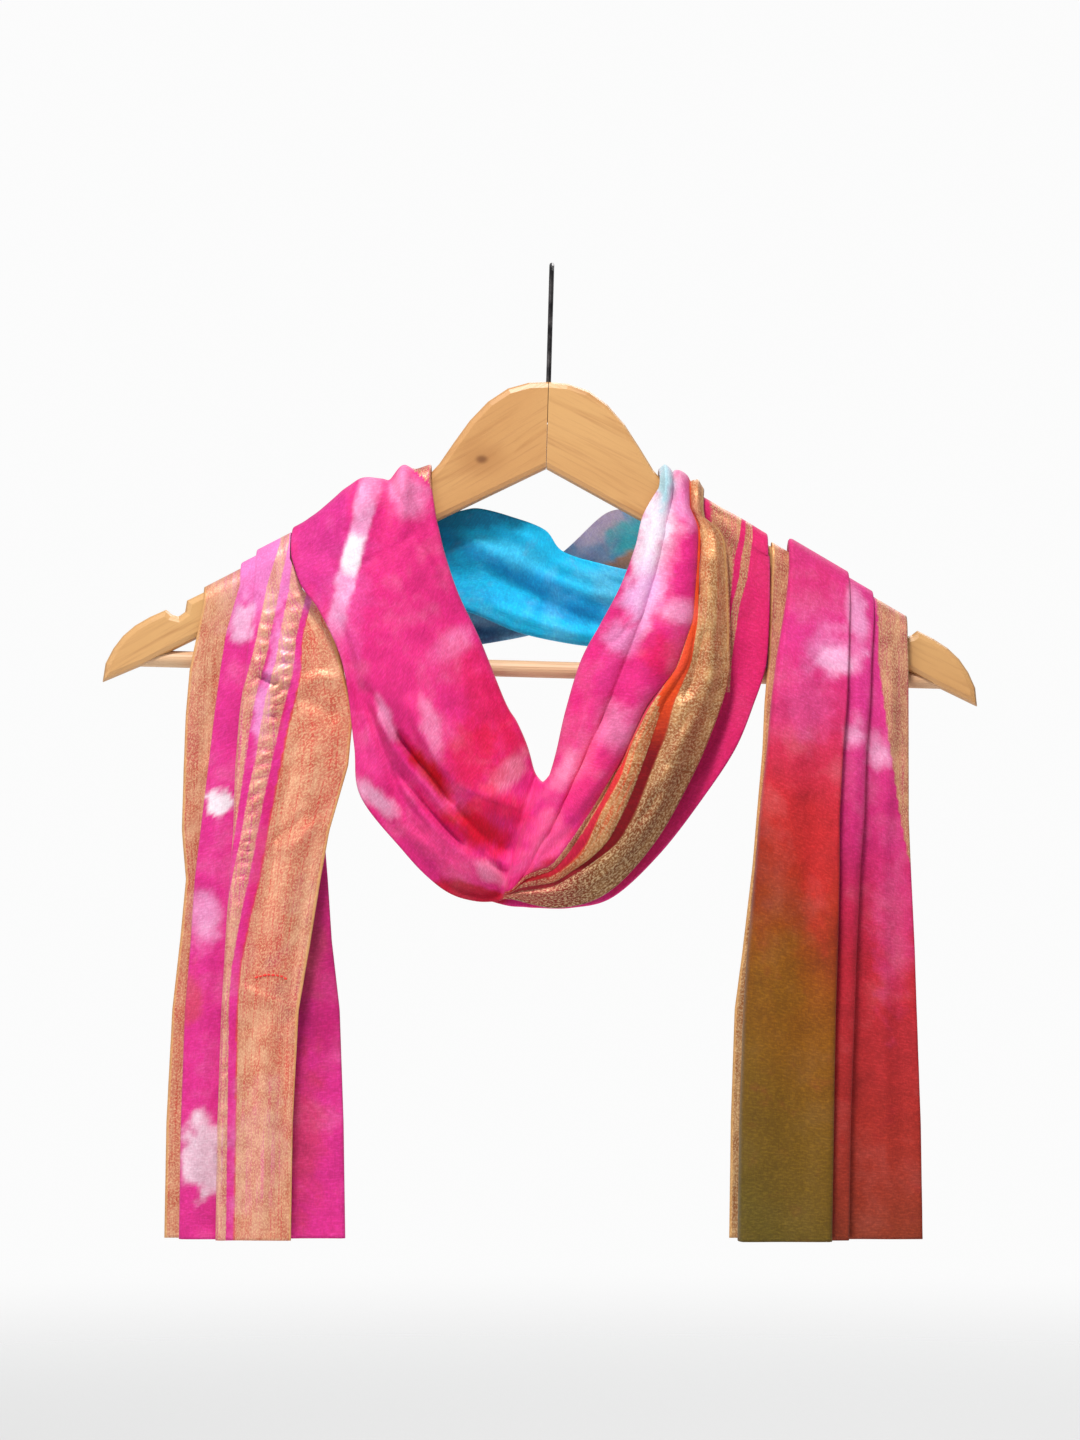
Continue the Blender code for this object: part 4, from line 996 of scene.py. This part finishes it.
inner_fold = (FIRST_LAYER + ARM_PITCH, FIRST_LAYER + 3.6 * ARM_PITCH)
over_wood = inner_fold + (FIRST_LAYER, FIRST_LAYER + 1.4 * ARM_PITCH)
tucks_right, tucks_left = (0.0, 5.0, 20.0), (0.0, 9.0, 18.0)
rows = [arm_station(OVER_RIGHT, -90, SEAM_RIGHT_INNER, tucks_right, over_wood)]
rows += [arm_station(OVER_RIGHT, angle, None, tucks_right, over_wood) for angle in (-90, 0, 90)]
rows += [row + (90,) for row in LOOP_RIGHT + LOOP_LEFT]
rows += [arm_station(OVER_LEFT, angle, None, tucks_left, over_wood) for angle in (90, 0, -90)]
rows.append(arm_station(OVER_LEFT, -90, SEAM_LEFT_INNER, tucks_left, over_wood))
steps = [3, 9, 9, 8] + [10] * 10 + [6] + [6, 6, 8, 8, 18, 12, 20, 14, 8, 8, 9, 9, 3]
table, stations = smooth_rows(rows, steps)

# Fold edges and stand-offs of the four legs: a tuck, the front, the back and a trailing leg
inner, outer, behind = table[:, 0:2], table[:, 2:4], table[:, 4:6]
inner_front, outer_front, inner_back, outer_back, crown, tuck, tail = table[:, 6:13].T
front_length = np.linalg.norm(inner - outer, axis=1)
back_length = np.linalg.norm(inner - behind, axis=1)
tucked = outer + (inner - outer) * (tuck / front_length)[:, None]
trailed = behind + (inner - behind) * (tail / back_length)[:, None]
edges = np.stack([tucked, outer, inner, behind, trailed], 1)
tuck_fall = np.maximum(0, outer_front - inner_front) * tuck / front_length
tail_fall = (outer_back - inner_back) * tail / back_length
levels = np.stack([
    np.stack([outer_front - ARM_PITCH - tuck_fall, outer_front - ARM_PITCH], 1),
    np.stack([outer_front, inner_front], 1),
    np.stack([inner_back, outer_back], 1),
    np.stack([outer_back - ARM_PITCH, outer_back - ARM_PITCH - tail_fall], 1),
], 1)

# Columns of the front leg follow the lines, so that every roll and stripe keeps to its threads
COLUMNS = (14, 5, 6, 4, 6, 20, 23)
fine = np.linspace(0, 1, 400)
knots = [np.zeros(len(table))]
for _, line in RIGHT_LINES:
    cut = []
    for i in range(len(table)):
        fx = outer[i, 0] + (inner[i, 0] - outer[i, 0]) * fine
        fz = outer[i, 1] + (inner[i, 1] - outer[i, 1]) * fine
        side = fx - line_x(fz, line)
        cut.append(float(np.interp(0.0, side[::-1], fine[::-1])))
    knots.append(np.array(cut))
knots.append(np.ones(len(table)))
knots = np.stack(knots, 1)
first_line, last_line = np.searchsorted(stations, 4.0), np.searchsorted(stations, 14.0)
knots[:first_line] = knots[first_line]
knots[last_line:] = knots[last_line]
for k in range(1, knots.shape[1] - 1):
    knots[:, k] = np.clip(knots[:, k], knots[:, k - 1] + 0.008, 1 - 0.03 * (knots.shape[1] - 1 - k))
spread = np.cumsum((0,) + COLUMNS) / sum(COLUMNS)
knots = blend(knots, spread, ramp(stations, LOW_POINT, LOW_POINT + 3)[:, None])
kernel = np.array([1, 2, 3, 2, 1]) / 9
for k in range(1, knots.shape[1] - 1):
    knots[:, k] = np.convolve(np.pad(knots[:, k], 2, mode="edge"), kernel, mode="valid")
column_knots = np.cumsum((0,) + COLUMNS)
front_places = np.stack([np.interp(np.arange(column_knots[-1] + 1), column_knots, row) for row in knots])
places = [even(len(table), 8), front_places, even(len(table), 34), even(len(table), 12)]
points, legs, place, out = lay(edges, levels, np.radians(np.clip(table[:, 13], -90, 90)), places)
x, z = points[..., 0].copy(), points[..., 2].copy()
station = stations[:, None] * np.ones(points.shape[:2])
ends = np.clip(8 * np.minimum(place, 1 - place), 0, 1)
lift = crown[:, None] * 4 * place * (1 - place)


def roll(first, last, height, power, start, end):
    """A rounded roll between two knots of the front leg, from one station to another."""
    low, high = knots[:, first][:, None], knots[:, last][:, None]
    q = np.clip((place - low) / (high - low), 0, 1)
    along = np.clip((station - start) / 2.0, 0, 1) * np.clip((end - station) / 3.0, 0, 1)
    return height * along * (4 * q * (1 - q)) ** power


lift = lift + roll(0, 1, 4.0, 0.6, 1.0, 14.6)
lift = lift + roll(2, 4, 2.2, 0.6, 6.5, 14.6)
lift = lift + roll(4, 6, 6.0, 0.62, 1.0, 14.6)
lift = lift + roll(6, 7, 5.5, 0.62, 1.0, 14.0)
border = np.full(points.shape[:2], PLAIN)
values = [0.0] + [value for value, _ in RIGHT_LINES] + [140.0]
border[:, legs == 1] = np.interp(np.arange(column_knots[-1] + 1), column_knots, values)
threads_in = border.copy()
on_right = ramp(station, LOW_POINT, LOW_POINT - 0.1)
pucker = np.sin(station * 8.0 + 1.5 * soft_noise(x, z, 20.0, 51)) * np.exp(-((border - 39) / 6.0) ** 2)
lift = lift + 0.5 * pucker * np.clip(station - 8, 0, 1) * on_right
wide_pucker = 1.5 * soft_noise(border, station * 9, 9.0, 52) + 0.5 * soft_noise(x, z, 6.0, 58)
lift = lift + wide_pucker * np.exp(-((border - 15) / 14.0) ** 2) * on_right
loop_creases = [
    ([(-84.6, -108), (-72.8, -126.3), (-62.6, -144.2), (-57.5, -153.4)], -2.2, 2.4, 2.2),
    ([(-97.1, -210.5), (-93.2, -222.7), (-87.9, -237), (-82.5, -253.3), (-77.4, -265.6),
        (-67.2, -279.3), (-60, -289)], -3.4, 2.2, 3.4),
    ([(-90.2, -218), (-84.8, -233.4), (-78.7, -244.9), (-70.3, -256.4), (-61.1, -265.6),
        (-53.4, -276.3), (-44.3, -284.7), (-36.6, -292.3), (-32, -299)], 4.6, 2.6, 2.8),
    ([(-79.5, -252.8), (-73.3, -263.3), (-65.7, -271.7), (-55, -283.9), (-44.3, -295.4),
        (-38.1, -300.7)], -3.6, 1.9, 1.7),
    ([(-76.4, -259), (-67.2, -276.3), (-51.9, -291.6), (-36.6, -303),
        (-23.0, -313)], 4.8, 2.6, 6.0),
    ([(-94.8, -212.3), (-90.2, -219.7), (-82.5, -232.7), (-76.4, -240.3),
        (-70, -248)], -2.6, 1.8, 1.6),
    ([(-79, -237), (-71, -248), (-63.4, -256.4), (-56.5, -265.6), (-50.5, -276)], -6.0, 3.0, 2.2),
    ([(-73.3, -218), (-64.7, -238.5), (-55, -253.8), (-45.8, -264), (-29, -271.7),
        (-16.7, -275.8), (-10.5, -281)], 5.5, 10.0, 3.4),
    ([(-48, -273), (-38, -286), (-28, -294), (-15, -298)], -4.6, 6.5, 5.0),
    ([(-33.8, -299.4), (-26.7, -302.4), (-17.6, -304.4)], 3.2, 1.8, 2.0),
    ([(-97.8, -252), (-84, -276), (-67.2, -292.8), (-44.3, -308.4), (-27, -316)], 2.8, 6.0, 5.0),
    ([(-83, -264), (-73, -281), (-63, -292)], -2.0, 3.0, 3.4),
    ([(-63, -311), (-48.3, -315.5), (-36.6, -319), (-20, -318.8)], -3.2, 1.6, 3.6),
    ([(-106, -165), (-99, -190), (-88, -214), (-76, -232)], 2.2, 8.0, 6.0),
    ([(-76, -112), (-68, -134), (-58, -158), (-47, -184)], 1.8, 3.0, 5.0),
    ([(-107, -178), (-101, -204), (-97, -232), (-92, -256)], -2.0, 2.2, 3.0),
    ([(-62, -170), (-50, -198), (-40, -222), (-30, -246)], -1.8, 7.0, 7.0),
    ([(-52, -166), (-42, -192), (-30, -216)], 1.8, 5.0, 5.0),
    ([(-38, -204), (-29, -226), (-18, -250)], 1.6, 4.0, 4.0),
    ([(-92, -132), (-88, -160), (-78, -186)], -1.4, 6.0, 7.0),
    ([(62, -168), (54, -186), (44, -204)], 1.0, 6.0, 5.0),
    ([(22, -196), (34, -190), (40, -182)], -1.4, 1.8, 1.8),
    ([(8, -228), (14, -222), (24, -218)], -1.2, 2.0, 2.0),
    ([(40, -244), (26, -266), (8, -288), (-8, -304)], -2.2, 3.2, 4.0),
    ([(30, -232), (18, -254), (2, -276), (-12, -300)], 1.8, 4.0, 5.0),
    ([(16, -226), (6, -250), (-2, -272)], 1.4, 3.0, 3.6),
    ([(77.9, -182), (74.1, -198.5), (71.2, -211), (65.4, -222)], -3.2, 2.4, 2.6),
    ([(56.8, -250), (63.5, -256), (71.2, -252)], -2.0, 1.5, 2.2),
    ([(74, -226), (66, -240), (60, -251)], 1.8, 2.6, 2.4),
    ([(56, -264), (50, -274), (42, -284)], -2.2, 2.2, 2.4),
    ([(14, -312), (17, -319), (19, -326)], -1.4, 1.2, 1.4),
    ([(4, -309), (13, -305), (24, -299)], -1.2, 1.2, 1.4),
]
humps = 9.5 * np.exp(-((x + 98) / np.where(x < -98, 17.0, 13.0)) ** 2)
humps += 5.5 * np.exp(-((x + 75.9) / 4.6) ** 2)
over_left_arm = ramp(station, 23.6, 25.2) * ramp(station, 27.8, 26.8)
lift = lift + ridges(x, z, loop_creases) + humps * over_left_arm
lift = (lift + 0.7 * soft_noise(x, z, 16.0, 53) + 0.3 * soft_noise(x, z, 6.0, 56)) * ends
back_lift = 0.5 * soft_noise(x, z, 10.0, 54)
for line, height in (
    ([(104, -160), (98, -200), (84, -236), (60, -274)], 1.2),
    ([(92, -150), (84, -190), (70, -226), (46, -268)], -1.4),
    ([(70, -140), (60, -180), (40, -220), (22, -262)], 1.6),
    ([(-70, -130), (-76, -170), (-66, -220), (-40, -262)], -1.6),
    ([(-92, -160), (-86, -210), (-62, -258), (-30, -292)], 1.4),
    ([(20, -300), (-4, -306), (-30, -300)], -1.4),
):
    back_lift = back_lift + crease(x, z, line, height, 4.0, 4.6)
raise_cloth(points, legs, out, np.where(legs == 1, lift, np.where(legs == 2, -back_lift * ends, 0.0)))

# The border on the loop's other legs: two narrow gold stripes show on the outer back edge
back_lines = [
    (30, [(64, -112), (66, -130), (66, -160), (60, -200)]),
    (39, [(94.5, -128), (92, -140), (89.4, -149), (88, -200)]),
    (51.5, [(100.6, -139), (97.5, -159), (92.9, -172), (88, -200)]),
    (75, [(108.6, -120), (108.6, -150), (108.4, -200), (92, -250)]),
]
right_half, upper = station < LOW_POINT, station < UPPER_END
behind_border = np.where(station < BACK_GOLD_END, across_lines(x, z, back_lines), PLAIN)
border = np.where(legs == 2, behind_border, border)
border = np.where((legs == 1) & (station > LOW_POINT), PLAIN, border)
border = np.where((legs == 1) & upper & (border > 47.9) & (border < 60), 60.0, border)
stripe_start = 35.0 + 13.0 * ramp(z, -228, -212)
hidden = (legs == 1) & upper & (border > 30) & (border < stripe_start)
border = np.where(hidden, np.minimum(border, 32.5), border)
border = np.where((legs <= 1) & (z < -196) & right_half, np.maximum(border, 2.4), border)
border = np.where(legs == 0.5, np.where(right_half, 2.0, PLAIN), border)
border = np.where(legs == 0, np.where(right_half, 8.0, PLAIN), border)
border = np.where((legs == 3) & (station > LOW_POINT), 36 * (1 - place), border)
corner = (legs > 1.4) & (legs < 3) & (station > NEAR_LEFT_ARM) & (x > -74)
corner |= (legs == 1) & (place > 1.03 - 0.17 * np.clip(station - NEAR_LEFT_ARM, 0, 1))
border = np.where(corner, 14.0, border)

on_gold = (border < 57) & (station < LOW_POINT + 0.1)
brown = blend(tone(206, 110, 70), tone(112, 52, 24), ramp(-z, 150, 300)[..., None])
channel = blend(tone(232, 72, 22), tone(120, 4, 14), ramp(-z, 217, 247)[..., None])
ground = np.where((on_gold & (border < 30))[..., None], brown, tone(226, 36, 122))
for low, high, tint in ((30, 35.5, channel), (35.5, 44, tone(226, 84, 44))):
    band = on_gold & (legs == 1) & (border >= low) & (border < high)
    ground = np.where(band[..., None], tint, ground)
dye_and_light_washes = [
    (-118, -140, 18, 26, -10, 1.2, (202, 48, 140), 0.6),
    (-73, -116, 8, 12, 30, 1.2, (244, 150, 200), 0.6),
    (-104, -176, 10, 30, -12, 1.2, (236, 84, 162), 0.5),
    (-60, -158, 16, 26, -20, 1.2, (212, 30, 112), 0.7),
    (-50, -193, 14, 5.5, 34, 1.0, (240, 130, 186), 0.65),
    (-34, -220, 13, 26, 30, 1.2, (214, 10, 70), 0.7),
    (-22, -242, 9, 13, 10, 1.2, (220, 14, 66), 0.6),
    (-62, -212, 16, 20, 20, 1.2, (226, 40, 122), 0.6),
    (-60, -235, 4.6, 14, 12, 1.0, (240, 144, 186), 0.6),
    (-22, -258, 14, 5.5, 48, 0.9, (240, 130, 160), 0.7),
    (-40, -250, 13, 15, 20, 1.2, (216, 10, 66), 0.75),
    (-89, -270, 13, 4.6, -42, 0.9, (248, 174, 210), 0.8),
    (-84, -229, 2.8, 11, 24, 1.0, (246, 156, 200), 0.75),
    # These two deep red washes are painted shadows in the pocket hollows of the left swath.
    (-61, -257, 4.6, 15, 38, 0.8, (200, 0, 24), 0.95),
    (-37, -286, 16, 9, -36, 1.0, (220, 0, 30), 0.9),
    (-25, -275, 15, 7, -16, 1.0, (250, 24, 90), 0.85),
    (-92, -246, 9, 16, 20, 1.2, (232, 60, 140), 0.6),
    (-56, -296, 26, 7, -38, 1.1, (244, 66, 132), 0.6),
    # A pale pink wash on the ridge near the point of the folds: a painted highlight.
    (-30, -309, 9, 4, -36, 0.9, (252, 150, 186), 0.6),
    # A deep red wash along the trough at the loop's lower rim: painted shade.
    (-44, -318, 30, 4.6, -9, 0.7, (184, 2, 30), 0.9),
    (53, -134, 9.5, 34, -8, 1.3, (236, 224, 242), 0.97),
    (57, -112, 4.4, 13, 0, 0.9, (160, 214, 226), 0.9),
    (47, -168, 9, 15, -22, 1.4, (228, 160, 216), 0.85),
    (35, -189, 9, 9, -20, 1.2, (232, 150, 206), 0.65),
    (30, -208, 10, 9, -20, 1.0, (222, 50, 132), 0.6),
    (68, -122, 8, 9, 0, 1.1, (242, 130, 192), 0.75),
    (64, -176, 13, 6, 0, 1.2, (242, 150, 196), 0.7),
    (64, -152, 9, 14, 0, 1.1, (232, 40, 130), 0.6),
    (60, -200, 13, 12, -10, 1.1, (226, 14, 84), 0.8),
    (32, -234, 11, 11, -30, 1.1, (246, 130, 180), 0.75),
    (9, -256, 6, 10, -30, 1.2, (248, 150, 192), 0.7),
    (16, -232, 9, 12, -20, 1.1, (224, 40, 120), 0.6),
    (20, -262, 12, 16, -34, 1.2, (240, 44, 120), 0.8),
    (-3, -292, 12, 14, -34, 1.0, (250, 80, 140), 0.75),
    (22, -280, 20, 6, 54, 0.9, (220, 20, 50), 0.8),
    (-4, -309, 22, 6, 24, 0.8, (196, 10, 36), 0.85),
]
dye_and_painted_light = paint_washes(x, z, ground, dye_and_light_washes, 55)
fold_stripe = [(-88, -108), (-93, -120), (-99.9, -141.6), (-105.5, -165.6), (-111, -192)]
bound_spot = [(-97, -136), (-99, -143), (-101, -150), (-103.5, -159)]
dye_and_painted_light = stripe(dye_and_painted_light, x, z, fold_stripe, 5.2, (244, 166, 212), 0.75, 57)
dye_and_painted_light = stripe(dye_and_painted_light, x, z, bound_spot, 4.8, WHITE, 0.95, 59)
to_maroon = (ramp(x, 22, -8) * ramp(-z, 298, 308))[..., None]
ground = blend(ground, tone(150, 34, 44), to_maroon)
dye_and_painted_light = np.where((on_gold & (legs == 1))[..., None], blend(ground, dye_and_painted_light, 0.15), dye_and_painted_light)
beside = np.exp(-((threads_in - 45) / 9.0) ** 2) * ramp(-z, 200, 240) * ramp(station, 6, 8)
beside = (0.85 * beside * (legs == 1) * right_half * (border > 43))[..., None]
beside_dye = blend(tone(216, 56, 8), tone(176, 8, 22), ramp(-z, 252, 292)[..., None])
dye_and_painted_light = blend(dye_and_painted_light, beside_dye, beside)
outer_layer = ((legs == 2) & (x > 30))[..., None]
dye_and_painted_light = np.where(outer_layer, blend(dye_and_painted_light, tone(216, 28, 92), 0.75), dye_and_painted_light)
silk = cloth_finish("front_loop_silk", 11, (136, 84, 42), (206, 160, 102), 0.22)
# The dye share over the gold rises in the hollows of the wide band's puckers, which paints shade there, and
# it also rises towards the bottom.
dye_and_shade_over_gold = 0.3 * np.clip(-wide_pucker, 0, 1.2) + 0.42 * ramp(-z, 205, 265)
dye_and_shade_over_gold = dye_and_shade_over_gold * (border < 31) * on_right + 0.75 * ramp(x, 26, -8) * ramp(-z, 296, 308)
make_cloth(
    "stole_front_loop", "loop_front", points, dye_and_painted_light, border, silk, dye_and_shade_over_gold=dye_and_shade_over_gold,
)

# The stitched mark near the left end's hem.
# A few short running stitches of orange-red thread, worked by hand through the gold border.
# One stitch is repeated along a slightly bent line by geometry nodes.
STITCH_LINE = [(-149.3, -361.0), (-143.6, -359.6), (-137.0, -360.2), (-134.6, -361.6)]
STITCH_COUNT, STITCH_LONG, STITCH_THICK, STITCH_SEED = 8, 2.0, 0.6, 4
thread = Finish("orange_thread", Roughness=0.7)
thread_twist = thread.noise(thread.place(), 1800.0, 2.0, 0.6)
thread.to_shader("Base Color", thread.mix(thread_twist, display(222, 34, 36), display(250, 66, 56)))
stitches = bpy.data.node_groups.new("running_stitches", "GeometryNodeTree")


def stitch_input(label, kind):
    """A new input of the stitch group, by its identifier."""
    socket_type = "NodeSocket" + kind
    return stitches.interface.new_socket(label, in_out="INPUT", socket_type=socket_type).identifier


def stitch_node(kind, links=(), **values):
    return add_node(stitches, kind, links, **values)


stitch_input("Line", "Geometry")
count_key, long_key = stitch_input("Stitches", "Int"), stitch_input("Length", "Float")
thick_key, seed_key = stitch_input("Thickness", "Float"), stitch_input("Seed", "Int")
thread_key = stitch_input("Thread", "Material")
stitches.interface.new_socket("Geometry", in_out="OUTPUT", socket_type="NodeSocketGeometry")
given = stitch_node("NodeGroupInput").outputs
path = stitch_node("GeometryNodeMeshToCurve", [("Mesh", given["Line"])])
links = [("Curve", path.outputs[0]), ("Count", given["Stitches"])]
spaced = stitch_node("GeometryNodeCurveToPoints", links, mode="COUNT").outputs
links = [("Radius", given["Thickness"]), ("Segments", 10), ("Rings", 6)]
bead = stitch_node("GeometryNodeMeshUVSphere", links)
ratio = stitch_node("ShaderNodeMath", [(0, given["Length"]), (1, given["Thickness"])], operation="DIVIDE")
half = stitch_node("ShaderNodeMath", [(0, ratio.outputs[0]), (1, 0.5)], operation="MULTIPLY")
shape = stitch_node("ShaderNodeCombineXYZ", [("X", 1.0), ("Y", 1.0), ("Z", half.outputs[0])])
links = [(2, 0.75), (3, 1.15), ("Seed", given["Seed"])]
uneven = stitch_node("FunctionNodeRandomValue", links, data_type="FLOAT")
links = [(0, shape.outputs[0]), (3, uneven.outputs[1])]
varied = stitch_node("ShaderNodeVectorMath", links, operation="SCALE")
links = [("Points", spaced["Points"]), ("Instance", bead.outputs["Mesh"]), ("Rotation", spaced["Rotation"])]
placed = stitch_node("GeometryNodeInstanceOnPoints", links + [("Scale", varied.outputs[0])])
real = stitch_node("GeometryNodeRealizeInstances", [("Geometry", placed.outputs[0])])
links = [("Geometry", real.outputs[0]), ("Material", given["Thread"])]
dyed_thread = stitch_node("GeometryNodeSetMaterial", links)
stitch_node("NodeGroupOutput", [("Geometry", dyed_thread.outputs[0])])

end_mesh = bpy.data.objects["stole_left_end"].data
surface = np.zeros(len(end_mesh.vertices) * 3)
end_mesh.vertices.foreach_get("co", surface)
surface = surface.reshape(-1, 3) / MM
line_points = []
for sx, sz in STITCH_LINE:
    near = np.hypot(surface[:, 0] - sx, surface[:, 2] - sz) < 2.5
    line_points.append((sx * MM, (surface[near, 1].min() - CLOTH_THICK / 2) * MM, sz * MM))
line_mesh = bpy.data.meshes.new("stitch_line")
line_mesh.from_pydata(line_points, [(i, i + 1) for i in range(len(line_points) - 1)], [])
guide = bpy.data.objects.new("stitch_guide", line_mesh)
bpy.context.scene.collection.objects.link(guide)
sewing = guide.modifiers.new("stitches", "NODES")
sewing.node_group = stitches
sewing[count_key] = STITCH_COUNT
sewing[long_key] = STITCH_LONG * MM
sewing[thick_key] = STITCH_THICK * MM
sewing[seed_key] = STITCH_SEED
sewing[thread_key] = thread.material
sewn = bpy.data.meshes.new_from_object(guide.evaluated_get(bpy.context.evaluated_depsgraph_get()))
sewn.name = "stitch_mark"
sewn.shade_smooth()
bpy.data.objects.remove(guide)
mark = bpy.data.objects.new("stitch_mark", sewn)
bpy.context.scene.collection.objects.link(mark)
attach(mark, "root")
